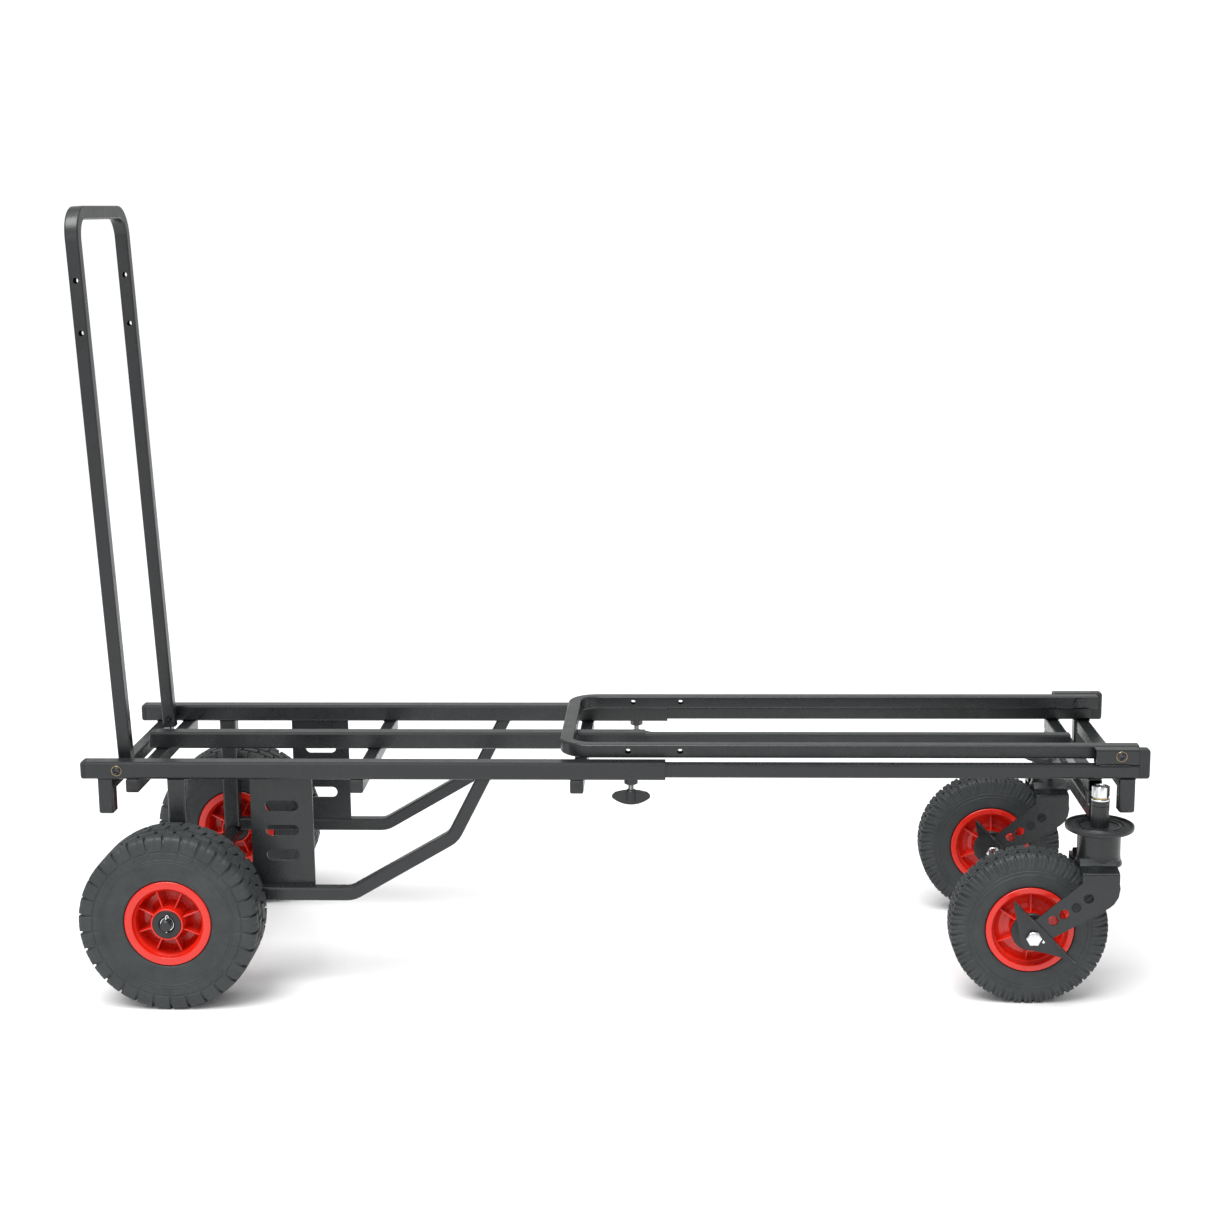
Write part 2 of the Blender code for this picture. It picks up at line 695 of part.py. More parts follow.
for side, sign in SIDES:
    center = (AXLE_X, sign * REAR_WHEEL_Y, AXLE_Z)
    finish(f"rear_tyre_{side}", lathe(center, both_halves(REAR_TYRE)), RUBBER, center)
    wheel = rim(center, REAR_RIM, REAR_RIM_STEPS, 0.0210, 0.0455, REAR_RIBS, 0.0225)
    finish(f"rear_rim_{side}", wheel, RED, center)


# ---- casters -------------------------------------------------------------------------------------
def fork(y):
    """Turned cup, ledge and two folded legs as one pressing."""
    wall = FORK_RADIUS - FORK_WALL
    hole = KINGPIN_RADIUS + GAP
    body = skin(
        section_rings("Z", (SWIVEL_X, y), (
            (circle(FORK_RADIUS, 24), FOLD_Z - 0.0023),
            (circle(FORK_RADIUS, 24), FORK_TOP),
            (circle(hole, 24), FORK_TOP),
            (circle(hole, 24), FORK_TOP - FORK_WALL),
            (circle(wall, 24), FORK_TOP - FORK_WALL),
            (circle(wall, 24), FOLD_Z - 0.0023),
        )),
        loop=True,
    )
    edge = LEG_Y + LEG_THICKNESS / 2
    reach = FORK_RADIUS - 0.0006
    right = [
        (SWIVEL_X + reach * math.cos(a), reach * math.sin(a))
        for a in (math.radians(d) for d in (-36, -12, 12, 36))
    ]
    outline = [(1.3945, -edge), (1.4438, -edge)] + right + [(1.4438, edge), (1.3945, edge)]
    outline += [(1.3955, 0.036), (1.3955, -0.036)]
    opening = [(SWIVEL_X + u, v) for u, v in circle(FORK_RADIUS - FORK_WALL / 2, 24)]
    ledge = plate(
        "Z", [(u, v + y) for u, v in outline], [[(u, v + y) for u, v in opening]],
        FOLD_Z - LEG_THICKNESS, FOLD_Z - 0.0005,
    )
    body = combine(body, ledge)

    leg = [(1.3940, FOLD_Z), (1.4446, FOLD_Z), (1.4455, 0.1775), (1.4430, 0.1650), (1.4317, 0.1503)]
    for k in range(7):
        angle = math.radians(-62 - k * 27)
        leg.append((CASTER_X + 0.0150 * math.cos(angle), CASTER_RADIUS + 0.0150 * math.sin(angle)))
    leg.append((1.3325 - 0.0140, 0.1347 - 0.0140))
    holes = [[(x + u, z + v) for u, v in circle(FORK_HOLE_RADIUS, 16)] for x, z in FORK_HOLES]
    bolt_hole = circle(CASTER_BOLT_RADIUS + GAP, 16)
    holes.append([(CASTER_X + u, CASTER_RADIUS + v) for u, v in bolt_hole])
    for sign in (-1.0, 1.0):
        low, high = sorted((y + sign * LEG_Y, y + sign * (LEG_Y + LEG_THICKNESS)))
        body = combine(body, plate("Y", leg, holes, low, high))
    return body


PEDAL_TIPS = (Vector((-0.030, 0.0562)), Vector((0.064, -0.0401)))
PEDAL_LOW = ((0.0180, -0.0215), (0.0040, -0.0185), (-0.0085, -0.0150), (-0.0165, -0.0050), (-0.0190, 0.0080))
PEDAL_THICKNESS = 0.0025
FLANGE = (
    (0.0030, 0.0), (0.0120, 0.0060), (0.0380, 0.0095), (0.0480, 0.0035),
    (0.0860, 0.0035), (0.0960, 0.0095), (0.1220, 0.0060), (0.1310, 0.0),
)


def brake_pedal(y):
    """A two-armed rocker plate with a turned-out edge, outside the leg on the -Y side."""
    face = y - LEG_Y - LEG_THICKNESS - GAP
    outline = [PEDAL_TIPS[0], PEDAL_TIPS[1]] + [Vector(p) for p in PEDAL_LOW]
    outline = [(CASTER_X + p.x, CASTER_RADIUS + p.y) for p in outline]
    hole = circle(CASTER_BOLT_RADIUS + GAP, 16)
    hole = [(CASTER_X + u, CASTER_RADIUS + v) for u, v in hole]
    body = plate("Y", outline, [hole], face - PEDAL_THICKNESS, face)
    along = (PEDAL_TIPS[1] - PEDAL_TIPS[0]).normalized()
    across = Vector((-along.y, along.x))
    rings = []
    for shift in (-0.0022, -0.0002):
        ring = []
        for s, out in FLANGE:
            p = PEDAL_TIPS[0] + along * s + across * shift
            ring.append(Vector((CASTER_X + p.x, face - PEDAL_THICKNESS / 2 - out, CASTER_RADIUS + p.y)))
        rings.append(ring)
    return combine(body, skin(rings))


for side, sign in SIDES:
    y = sign * SWIVEL_Y
    swivel = (SWIVEL_X, y, FORK_TOP)
    hub = (CASTER_X, y, CASTER_RADIUS)
    finish(f"caster_fork_{side}", fork(y), PAINT, swivel)

    rings = (
        (0.0066, 0.2515), (0.0305, 0.2515), (0.0320, 0.2530), (0.0345, 0.2530), (0.0360, 0.2515),
        (0.0420, 0.2515), (0.0440, 0.2545), (0.0470, 0.2540), (0.0470, 0.2463), (0.0066, 0.2463),
    )
    disc = skin(
        section_rings("Z", (SWIVEL_X, y), [(circle(r, 24), z) for r, z in rings]), loop=True,
    )
    finish(f"swivel_disc_{side}", disc, PLASTIC, swivel)

    pin = circle(KINGPIN_RADIUS)
    head = circle(0.010)
    washer = circle(0.0125)
    nut = hexagon(0.0100)
    kingpin = rod("Z", (SWIVEL_X, y), (
        (head, 0.2370), (head, 0.2427), (pin, 0.2427), (pin, BOSS_Z[1] + GAP),
        (washer, BOSS_Z[1] + GAP), (washer, 0.2855), (nut, 0.2855), (nut, 0.3040),
        (pin, 0.3040), (pin, 0.3090),
    ))
    finish(f"kingpin_{side}", kingpin, STEEL, swivel)

    bolt = circle(CASTER_BOLT_RADIUS)
    head = hexagon(0.0093)
    face = LEG_Y + LEG_THICKNESS + GAP
    low = y - face - PEDAL_THICKNESS - GAP
    high = y + face
    axle_bolt = rod("Y", (CASTER_X, CASTER_RADIUS), (
        (head, low - 0.0065), (head, low), (bolt, low), (bolt, high),
        (head, high), (head, high + 0.0080), (bolt, high + 0.0080), (bolt, high + 0.0105),
    ))
    finish(f"caster_bolt_{side}", axle_bolt, STEEL, hub)
    finish(f"brake_pedal_{side}", brake_pedal(y), PAINT, hub)
    finish(f"caster_tyre_{side}", lathe(hub, both_halves(FRONT_TYRE)), RUBBER, hub)
    wheel = rim(hub, FRONT_RIM, FRONT_RIM_STEPS, 0.0225, 0.0465, FRONT_RIBS, 0.0150)
    finish(f"caster_rim_{side}", wheel, RED, hub)
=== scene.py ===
"""Looks of the convertible hand truck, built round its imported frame.

Row frame, in metres: +X points to the caster end, +Y to the left and +Z up; the origin is under the bed.
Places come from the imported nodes' boxes. CAD nodes whose shape is final keep it and get a finished material;
wheels, handles, forks, pedals and hardware are replaced by finer meshes of the same size.
"""

import math
import random

import bmesh
import bpy
from mathutils import Matrix, Vector
from mathutils.geometry import tessellate_polygon


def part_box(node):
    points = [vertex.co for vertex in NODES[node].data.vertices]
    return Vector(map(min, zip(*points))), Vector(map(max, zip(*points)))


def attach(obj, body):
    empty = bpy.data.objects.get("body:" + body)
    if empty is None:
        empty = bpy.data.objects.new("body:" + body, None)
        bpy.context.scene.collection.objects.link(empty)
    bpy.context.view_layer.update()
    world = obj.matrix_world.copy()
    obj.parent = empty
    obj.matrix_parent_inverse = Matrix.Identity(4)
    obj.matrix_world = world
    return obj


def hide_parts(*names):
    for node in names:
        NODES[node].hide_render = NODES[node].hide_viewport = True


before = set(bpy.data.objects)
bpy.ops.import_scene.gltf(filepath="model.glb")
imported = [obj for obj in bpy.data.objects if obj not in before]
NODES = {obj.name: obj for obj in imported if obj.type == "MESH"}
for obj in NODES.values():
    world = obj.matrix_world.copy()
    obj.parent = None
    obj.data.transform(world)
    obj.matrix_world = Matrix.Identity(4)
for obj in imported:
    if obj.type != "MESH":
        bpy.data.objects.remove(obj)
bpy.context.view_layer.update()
SIDES = (("right", -1.0), ("left", 1.0))


def middle(node):
    low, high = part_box(node)
    return (low + high) / 2


# ---- driving sizes -------------------------------------------------------------------------------
TUBE = 0.019
TUBE_WALL = 0.0015
HANDLE_BEND = 0.0375
HANDLE_LEAN = math.radians(2.7)
HANDLE_HOLE_RADIUS = 0.004
DRILL_REACH = 0.2
BOLT_RADIUS = 0.004
SPACER_RADIUS = 0.0065
CASTER_WHEEL = middle("caster_rim_right")
SWIVEL = middle("swivel_disc_right")
REAR_PIVOT = middle("rear_pivot_bolt_right")
FRONT_PIVOT = middle("front_pivot_bolt_right")
HANDLES = {
    "rear_handle": {
        "pivot": REAR_PIVOT, "tilt": -HANDLE_LEAN, "reach": 0.785, "tail": 0.0125, "holes": (0.612, 0.684),
    },
    "front_handle": {
        "pivot": FRONT_PIVOT, "tilt": -math.pi / 2, "reach": 0.778, "tail": 0.0285, "holes": (0.607, 0.680),
    },
}


# ---- shader helpers ------------------------------------------------------------------------------
class Shader:
    """A Principled material that reads its patterns in the object's own space."""

    def __init__(self, name, **sockets):
        self.material = bpy.data.materials.new(name)
        self.material.use_nodes = True
        self.tree = self.material.node_tree
        self.base = self.tree.nodes["Principled BSDF"]
        for socket, value in sockets.items():
            self.base.inputs[socket.replace("_", " ")].default_value = value
        self.space = self.tree.nodes.new("ShaderNodeTexCoord").outputs["Object"]

    def link(self, source, target):
        self.tree.links.new(source, target)

    def noise(self, scale, detail=2.0, stretch=None):
        node = self.tree.nodes.new("ShaderNodeTexNoise")
        node.inputs["Scale"].default_value = scale
        node.inputs["Detail"].default_value = detail
        if stretch:
            mapping = self.tree.nodes.new("ShaderNodeMapping")
            mapping.inputs["Scale"].default_value = stretch
            self.link(self.space, mapping.inputs["Vector"])
            self.link(mapping.outputs["Vector"], node.inputs["Vector"])
        else:
            self.link(self.space, node.inputs["Vector"])
        return node.outputs["Fac"]

    def cells(self, scale):
        node = self.tree.nodes.new("ShaderNodeTexVoronoi")
        node.inputs["Scale"].default_value = scale
        self.link(self.space, node.inputs["Vector"])
        return node.outputs["Distance"]

    def remap(self, source, low, high, start=0.0, end=1.0):
        node = self.tree.nodes.new("ShaderNodeMapRange")
        for socket, value in zip(("From Min", "From Max", "To Min", "To Max"), (low, high, start, end)):
            node.inputs[socket].default_value = value
        self.link(source, node.inputs["Value"])
        return node.outputs["Result"]

    def mix(self, factor, first, second):
        node = self.tree.nodes.new("ShaderNodeMix")
        node.data_type = "RGBA"
        self.link(factor, node.inputs["Factor"])
        for key, value in (("A", first), ("B", second)):
            socket = [s for s in node.inputs if s.name == key and s.type == "RGBA"][0]
            if isinstance(value, tuple):
                socket.default_value = (*value, 1.0)
            else:
                self.link(value, socket)
        return [s for s in node.outputs if s.type == "RGBA"][0]

    def color(self, source):
        self.link(source, self.base.inputs["Base Color"])

    def roughness(self, source):
        self.link(source, self.base.inputs["Roughness"])

    def bump(self, *layers):
        """Stacks (height, strength, distance) bumps."""
        before = None
        for height, strength, distance in layers:
            node = self.tree.nodes.new("ShaderNodeBump")
            node.inputs["Strength"].default_value = strength
            node.inputs["Distance"].default_value = distance
            self.link(height, node.inputs["Height"])
            if before:
                self.link(before, node.inputs["Normal"])
            before = node.outputs["Normal"]
        self.link(before, self.base.inputs["Normal"])


def powder_coat():
    look = Shader("powder_coat_finish", Metallic=0.0, IOR=1.5)
    flecks = look.remap(look.noise(2300.0, 1.0), 0.66, 0.72)
    tone = look.mix(look.noise(14.0), (0.0078, 0.0096, 0.0104), (0.0135, 0.0155, 0.0165))
    look.color(look.mix(flecks, tone, (0.060, 0.064, 0.066)))
    look.roughness(look.remap(look.noise(60.0, 4.0), 0.3, 0.7, 0.24, 0.34))
    look.bump((look.noise(420.0, 3.0), 0.18, 0.0003), (look.noise(1500.0), 0.15, 0.0002))
    return look.material


def plastic():
    look = Shader("black_moulded_plastic", IOR=1.46)
    look.color(look.mix(look.noise(30.0, 3.0), (0.010, 0.011, 0.012), (0.020, 0.021, 0.022)))
    look.roughness(look.remap(look.noise(120.0), 0.3, 0.7, 0.34, 0.50))
    look.bump((look.noise(1900.0, 1.0), 0.2, 0.0002))
    return look.material


def steel(name, bright, dark, low, high):
    look = Shader(name, Metallic=1.0)
    look.color(look.mix(look.noise(160.0, 4.0), bright, dark))
    look.roughness(look.remap(look.noise(700.0, 3.0, (1.0, 1.0, 0.15)), 0.3, 0.7, low, high))
    look.bump((look.noise(900.0, 2.0, (1.0, 1.0, 0.1)), 0.12, 0.0001))
    return look.material


def red_plastic():
    look = Shader("gloss_red_plastic", IOR=1.5, Coat_Weight=0.22, Coat_Roughness=0.12)
    look.color(look.mix(look.noise(22.0, 3.0), (0.590, 0.0110, 0.0030), (0.670, 0.0150, 0.0045)))
    look.roughness(look.remap(look.noise(90.0), 0.3, 0.7, 0.24, 0.36))
    look.bump((look.noise(260.0), 0.08, 0.0003))
    return look.material


def rubber():
    look = Shader("tyre_rubber", IOR=1.5)
    dust = look.remap(look.noise(35.0, 6.0), 0.35, 0.75)
    look.color(look.mix(dust, (0.0210, 0.0250, 0.0262), (0.0320, 0.0368, 0.0384)))
    look.roughness(look.remap(look.noise(150.0, 3.0), 0.3, 0.7, 0.50, 0.66))
    look.bump((look.noise(1300.0, 2.0), 0.25, 0.0002), (look.noise(120.0), 0.1, 0.0006))
    return look.material


LOOKS = {
    "frame_paint": powder_coat(),
    "black_plastic": plastic(),
    "hardware": steel("zinc_plated_steel", (0.78, 0.79, 0.80), (0.62, 0.63, 0.64), 0.12, 0.26),
    "rim": red_plastic(),
    "tyre": rubber(),
}
BRASS = steel("yellow_passivated_steel", (0.52, 0.41, 0.22), (0.36, 0.26, 0.12), 0.20, 0.34)
DARK_STEEL = steel("black_oxide_steel", (0.085, 0.085, 0.090), (0.045, 0.045, 0.050), 0.20, 0.34)


# ---- mesh helpers --------------------------------------------------------------------------------
def place(axis, u, v, along):
    """A point with u and v across the axis and the third value along it."""
    if axis == "X":
        return Vector((along, u, v))
    if axis == "Y":
        return Vector((u, along, v))
    return Vector((u, v, along))


def arc(center, radius, start, end, steps):
    """Points on an arc, angles in degrees."""
    angles = (math.radians(start + (end - start) * k / steps) for k in range(steps + 1))
    return [(center[0] + radius * math.cos(a), center[1] + radius * math.sin(a)) for a in angles]


def circle(radius, steps=48, center=(0.0, 0.0)):
    return arc(center, radius, 0.0, 360.0, steps)[:-1]


def hexagon(flat_radius, steps=48):
    """A hexagon's outline at even angles, so it skins onto a circle of the same count."""
    result = []
    for k in range(steps):
        angle = 2 * math.pi * k / steps
        radius = flat_radius / math.cos((angle % (math.pi / 3)) - math.pi / 6)
        result.append((radius * math.cos(angle), radius * math.sin(angle)))
    return result


def rounded_square(half_u, half_v, radius, steps=4):
    result = []
    for quarter, (su, sv) in enumerate(((1, 1), (-1, 1), (-1, -1), (1, -1))):
        corner = (su * (half_u - radius), sv * (half_v - radius))
        result += arc(corner, radius, 90.0 * quarter, 90.0 * quarter + 90.0, steps)
    return result


def eased(points, radius, steps=3, closed=True):
    """The outline with its corners turned into arcs; a corner too short for the radius gets a smaller one."""
    points = [Vector(p) for p in points]
    count = len(points)
    result = []
    for k, corner in enumerate(points):
        if not closed and k in (0, count - 1):
            result.append(tuple(corner))
            continue
        come = corner - points[k - 1]
        leave = points[(k + 1) % count] - corner
        turn = come.angle_signed(leave)
        if abs(turn) < 0.05 or abs(turn) > 3.1:
            result.append(tuple(corner))
            continue
        reach = min(radius * math.tan(abs(turn) / 2), 0.45 * come.length, 0.45 * leave.length)
        start = corner - come.normalized() * reach
        end = corner + leave.normalized() * reach
        for step in range(steps + 1):
            t = step / steps
            result.append(tuple(start * (1 - t) ** 2 + corner * 2 * t * (1 - t) + end * t * t))
    return result


def skin(rings, loop=False):
    """Joins rings of equal point count; a loop closes on itself, otherwise both ends are capped."""
    count = len(rings[0])
    points = [Vector(point) for ring in rings for point in ring]
    faces = []
    for row in range(len(rings) if loop else len(rings) - 1):
        low = row * count
        high = ((row + 1) % len(rings)) * count
        for k in range(count):
            after = (k + 1) % count
            faces.append((low + k, low + after, high + after, high + k))
    if not loop:
        faces += [tuple(range(count)), tuple(range(len(points) - count, len(points)))]
    return points, faces


def loft(axis, center, sections, loop=False):
    """A solid through outlines at places along an axis; center is where the axis passes, as (u, v)."""
    rings = [
        [place(axis, center[0] + u, center[1] + v, along) for u, v in outline]
        for outline, along in sections
    ]
    return skin(rings, loop)


def flat_ring(inner, outer, low, high):
    """The (radius, height) profile of a washer."""
    return [(inner, low), (outer, low), (outer, high), (inner, high)]


def turned(axis, center, profile, steps=64):
    """A solid of revolution from a closed (radius, along) profile; radius 0 is on the axis."""
    rings = []
    for k in range(steps):
        angle = 2 * math.pi * k / steps
        rings.append([
            place(axis, center[0] + r * math.cos(angle), center[1] + r * math.sin(angle), along)
            for r, along in profile
        ])
    return skin(rings, loop=True)


def plate(axis, outline, holes, low, high):
    """A flat plate with holes; outlines are (u, v) pairs across the axis."""
    loops = [outline] + list(holes)
    flat = [p for loop in loops for p in loop]
    triangles = tessellate_polygon([[Vector((u, v, 0.0)) for u, v in loop] for loop in loops])
    count = len(flat)
    points = [place(axis, u, v, low) for u, v in flat] + [place(axis, u, v, high) for u, v in flat]
    faces = [tuple(t) for t in triangles] + [tuple(i + count for i in reversed(t)) for t in triangles]
    start = 0
    for loop in loops:
        for k in range(len(loop)):
            first, second = start + k, start + (k + 1) % len(loop)
            faces.append((first, second, second + count, first + count))
        start += len(loop)
    return points, faces


def moved(shell, matrix):
    points, faces = shell
    return [matrix @ p for p in points], faces


def piece(name, shells, slot, body, replaces=(), look=None, sharp=32.0, bevel=0.0):
    """Joins closed shells into one smooth-shaded piece that rides on a body."""
    mesh = bpy.data.meshes.new(name)
    work = bmesh.new()
    for points, faces in shells:
        vertices = [work.verts.new(p) for p in points]
        for face in faces:
            work.faces.new([vertices[i] for i in face])
    bmesh.ops.remove_doubles(work, verts=work.verts, dist=1e-6)
    bmesh.ops.recalc_face_normals(work, faces=work.faces)
    work.to_mesh(mesh)
    work.free()
    item = bpy.data.objects.new(name, mesh)
    bpy.context.collection.objects.link(item)
    mesh.materials.append(look or LOOKS[slot])
    if bevel:
        edge = item.modifiers.new("edge", "BEVEL")
        edge.width = bevel
        edge.segments = 2
        edge.limit_method = "ANGLE"
        edge.angle_limit = math.radians(40.0)
    mesh.shade_smooth()
    mesh.set_sharp_from_angle(angle=math.radians(sharp))
    if bevel:
        flatten(item)
    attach(item, body)
    if replaces:
        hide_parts(*replaces)
    return item


def flatten(item):
    """Keeps large flat faces evenly lit beside their rounded edges."""
    weight = item.modifiers.new("even_normals", "WEIGHTED_NORMAL")
    weight.keep_sharp = True
    weight.weight = 100


def cut(item, tool):
    """Takes the tool's shape out of the piece, and removes the tool."""
    modifier = item.modifiers.new("cut", "BOOLEAN")
    modifier.operation = "DIFFERENCE"
    modifier.solver = "EXACT"
    modifier.object = tool
    graph = bpy.context.evaluated_depsgraph_get()
    mesh = bpy.data.meshes.new_from_object(item.evaluated_get(graph))
    item.modifiers.clear()
    item.data = mesh
    bpy.data.objects.remove(tool, do_unlink=True)


def scratch(shell):
    """A bare object of one shell, to cut with."""
    mesh = bpy.data.meshes.new("scratch")
    mesh.from_pydata([tuple(p) for p in shell[0]], [], shell[1])
    work = bmesh.new()
    work.from_mesh(mesh)
    bmesh.ops.recalc_face_normals(work, faces=work.faces)
    work.to_mesh(mesh)
    work.free()
    item = bpy.data.objects.new("scratch", mesh)
    bpy.context.collection.objects.link(item)
    return item


# ---- CAD nodes that keep their shape ---------------------------------------------------------------
KEPT_SLOTS = {
    "frame_paint": (
        "outer_rail_", "inner_rail_", "end_crossbar", "crossbar_", "rear_foot_", "front_foot_",
        "axle_post_", "axle_brace_", "side_plate_", "axle_tube", "pivot_block_", "front_crossbar",
        "front_tie_bar", "caster_beam",
    ),
    "black_plastic": ("rail_end_cap_", "inner_end_cap_"),
    "hardware": ("axle", "cotter_pin_"),
}
for slot_name, prefixes in KEPT_SLOTS.items():
    for node_name, node in NODES.items():
        if any(node_name == p or (p.endswith("_") and node_name.startswith(p)) for p in prefixes):
            for index in range(len(node.material_slots)):
                node.material_slots[index].material = LOOKS[slot_name]
            flatten(node)
# the axle stays in the hardware slot, but it gets the frame's dark paint: painted shade, standing in for the
# shade on its end deep in the hub, on a steel axle
NODES["axle"].material_slots[0].material = LOOKS["frame_paint"]


# ---- handles -------------------------------------------------------------------------------------
def handle_path(half, reach, tail, steps=14):
    """(point, heading, bend share) along the bail's centreline in its (y, z) plane, pivot at the origin."""
    top = reach - TUBE / 2
    path = [((-half, -tail), 90.0, 0.0)]
    for center, start in (((-half + HANDLE_BEND, top - HANDLE_BEND), 180.0),
                          ((half - HANDLE_BEND, top - HANDLE_BEND), 90.0)):
        for k in range(steps + 1):
            angle = start - 90.0 * k / steps
            point = arc(center, HANDLE_BEND, angle, angle, 1)[0]
            path.append((point, angle - 90.0, math.sin(math.pi * k / steps)))
    path.append(((half, -tail), -90.0, 0.0))
    return path


def handle_shell(path):
    """Outer and inner skins of the bail; the tube flattens and swells a little in its bends."""
    skins = []
    for half, corner in ((TUBE / 2, 0.0026), (TUBE / 2 - TUBE_WALL, 0.0016)):
        rings = []
        for (y, z), heading, bend in path:
            side = Vector((0.0, -math.sin(math.radians(heading)), math.cos(math.radians(heading))))
            ring = []
            for u, v in rounded_square(half, half, corner):
                across = u * (1.0 - 0.05 * bend) + 0.0006 * bend
                out = v * (1.0 + 0.035 * bend)
                ring.append(Vector((0.0, y, z)) + side * across + Vector((out, 0.0, 0.0)))
            rings.append(ring)
        skins.append(rings)
    return skin(skins[0] + list(reversed(skins[1])), loop=True)


def handle(name, size):
    pivot = size["pivot"]
    turn = Matrix.Translation((pivot.x, 0.0, pivot.z)) @ Matrix.Rotation(size["tilt"], 4, "Y")
    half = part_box(name)[1].y - TUBE / 2
    shell = handle_shell(handle_path(half, size["reach"], size["tail"]))
    item = piece(name + "_bail", [moved(shell, turn)], "frame_paint", name, (name,))
    for height, radius in [(0.0, BOLT_RADIUS + 0.0003)] + [(h, HANDLE_HOLE_RADIUS) for h in size["holes"]]:
        outline = circle(radius, 24)
        drill = loft("Y", (0.0, height), [(outline, -DRILL_REACH), (outline, DRILL_REACH)])
        cut(item, scratch(moved(drill, turn)))
    item.data.shade_smooth()
    item.data.set_sharp_from_angle(angle=math.radians(32.0))
    flatten(item)


for name, size in HANDLES.items():
    handle(name, size)


# ---- tyres ---------------------------------------------------------------------------------------
def tyre(node, rows, columns, blocks, body):
    """A treaded tyre. Each row of the half profile is (radius, offset, groove depth, shift in pitches); each
    column is (place in the pitch, share of the groove depth)."""
    center = middle(node)
    full = [(r, o, d, s) for r, o, d, s in rows] + [(r, -o, d, s + 0.5) for r, o, d, s in reversed(rows)]
    pitch = 2 * math.pi / blocks
    rings = []
    for block in range(blocks):
        for spot, share in columns:
            ring = []
            for k, (r, offset, depth, shift) in enumerate(full):
                before, after = full[k - 1], full[(k + 1) % len(full)]
                normal = Vector((before[1] - after[1], after[0] - before[0])).normalized()
                radius = r - normal.x * depth * share
                along = offset - normal.y * depth * share
                angle = (block + spot + shift) * pitch
                ring.append(center + Vector((radius * math.cos(angle), along, radius * math.sin(angle))))
            rings.append(ring)
    piece(node + "_tread", [skin(rings, loop=True)], "tyre", body, (node,), sharp=38.0)


REAR_TYRE_ROWS = (
    (0.0499, 0.0300, 0, 0), (0.0604, 0.0322, 0, 0), (0.0615, 0.0330, 0, 0), (0.0617, 0.0352, 0, 0),
    (0.0628, 0.0368, 0, 0), (0.0650, 0.0375, 0, 0), (0.0672, 0.0373, 0, 0), (0.0690, 0.0376, 0, 0),
    (0.0740, 0.0387, 0, 0), (0.0800, 0.0394, 0, 0), (0.0860, 0.0398, 0, 0), (0.0884, 0.0399, 0, 0),
    (0.0889, 0.0403, 0, 0), (0.0897, 0.0403, 0, 0), (0.0902, 0.0399, 0, 0), (0.0921, 0.0400, 0, 0),
    (0.0926, 0.0404, 0, 0), (0.0934, 0.0404, 0, 0), (0.0939, 0.0400, 0, 0), (0.0958, 0.0400, 0, 0),
    (0.0964, 0.0402, 0.0002, 0), (0.0972, 0.0404, 0.0005, 0), (0.1030, 0.0406, 0.0007, 0),
    (0.1038, 0.0404, 0.0005, 0), (0.1044, 0.0397, 0, 0), (0.1054, 0.0397, 0, 0),
    (0.1060, 0.0404, 0.0006, 0), (0.1068, 0.0406, 0.0010, 0), (0.1120, 0.0405, 0.0013, 0),
    (0.1170, 0.0400, 0.0018, 0), (0.1210, 0.0391, 0.0030, 0), (0.1238, 0.0374, 0.0040, 0.02),
    (0.1254, 0.0346, 0.0040, 0.04), (0.1259, 0.0300, 0.0038, 0.06), (0.1257, 0.0238, 0.0030, 0.08),
    (0.1225, 0.0226, 0, 0.10), (0.1225, 0.0190, 0, 0.54), (0.1258, 0.0180, 0.0030, 0.56),
    (0.1260, 0.0168, 0.0036, 0.56), (0.1260, 0.0050, 0.0036, 0.66), (0.1258, 0.0038, 0.0030, 0.66),
    (0.1226, 0.0030, 0, 0.68),
)
REAR_TYRE_COLUMNS = (
    (-0.085, 0.0), (-0.070, 0.25), (-0.050, 1.0), (0.050, 1.0), (0.070, 0.25), (0.085, 0.0), (0.26, 0.0),
    (0.455, 0.0), (0.480, 0.1), (0.520, 0.1), (0.545, 0.0), (0.72, 0.0),
)
CASTER_TYRE_ROWS = (
    (0.0504, 0.0190, 0, 0), (0.0600, 0.0206, 0, 0), (0.0611, 0.0214, 0, 0), (0.0613, 0.0232, 0, 0),
    (0.0624, 0.0245, 0, 0), (0.0645, 0.0252, 0, 0), (0.0690, 0.0258, 0, 0), (0.0740, 0.0263, 0, 0),
    (0.0782, 0.0264, 0, 0), (0.0787, 0.0269, 0, 0), (0.0795, 0.0269, 0, 0), (0.0800, 0.0264, 0, 0),
    (0.0838, 0.0264, 0, 0), (0.0843, 0.0268, 0, 0), (0.0851, 0.0268, 0, 0), (0.0856, 0.0263, 0, 0),
    (0.0872, 0.0262, 0, 0), (0.0878, 0.0266, 0.0004, 0), (0.0925, 0.0262, 0.0009, 0),
    (0.0975, 0.0255, 0.0014, 0), (0.1020, 0.0246, 0.0022, 0.02), (0.1060, 0.0232, 0.0030, 0.05),
    (0.1078, 0.0205, 0.0034, 0.08), (0.1083, 0.0160, 0.0034, 0.12), (0.1082, 0.0132, 0.0026, 0.12),
    (0.1056, 0.0120, 0, 0.12), (0.1056, 0.0094, 0, 0.55), (0.1083, 0.0087, 0.0026, 0.60),
    (0.1084, 0.0030, 0.0030, 0.66), (0.1083, 0.0020, 0.0026, 0.68), (0.1058, 0.0014, 0, 0.70),
)
CASTER_TYRE_COLUMNS = (
    (-0.150, 0.0), (-0.125, 0.3), (-0.085, 1.0), (0.085, 1.0), (0.125, 0.3), (0.150, 0.0), (0.30, 0.0),
    (0.42, 0.0), (0.455, 0.35), (0.545, 0.35), (0.58, 0.0), (0.70, 0.0),
)
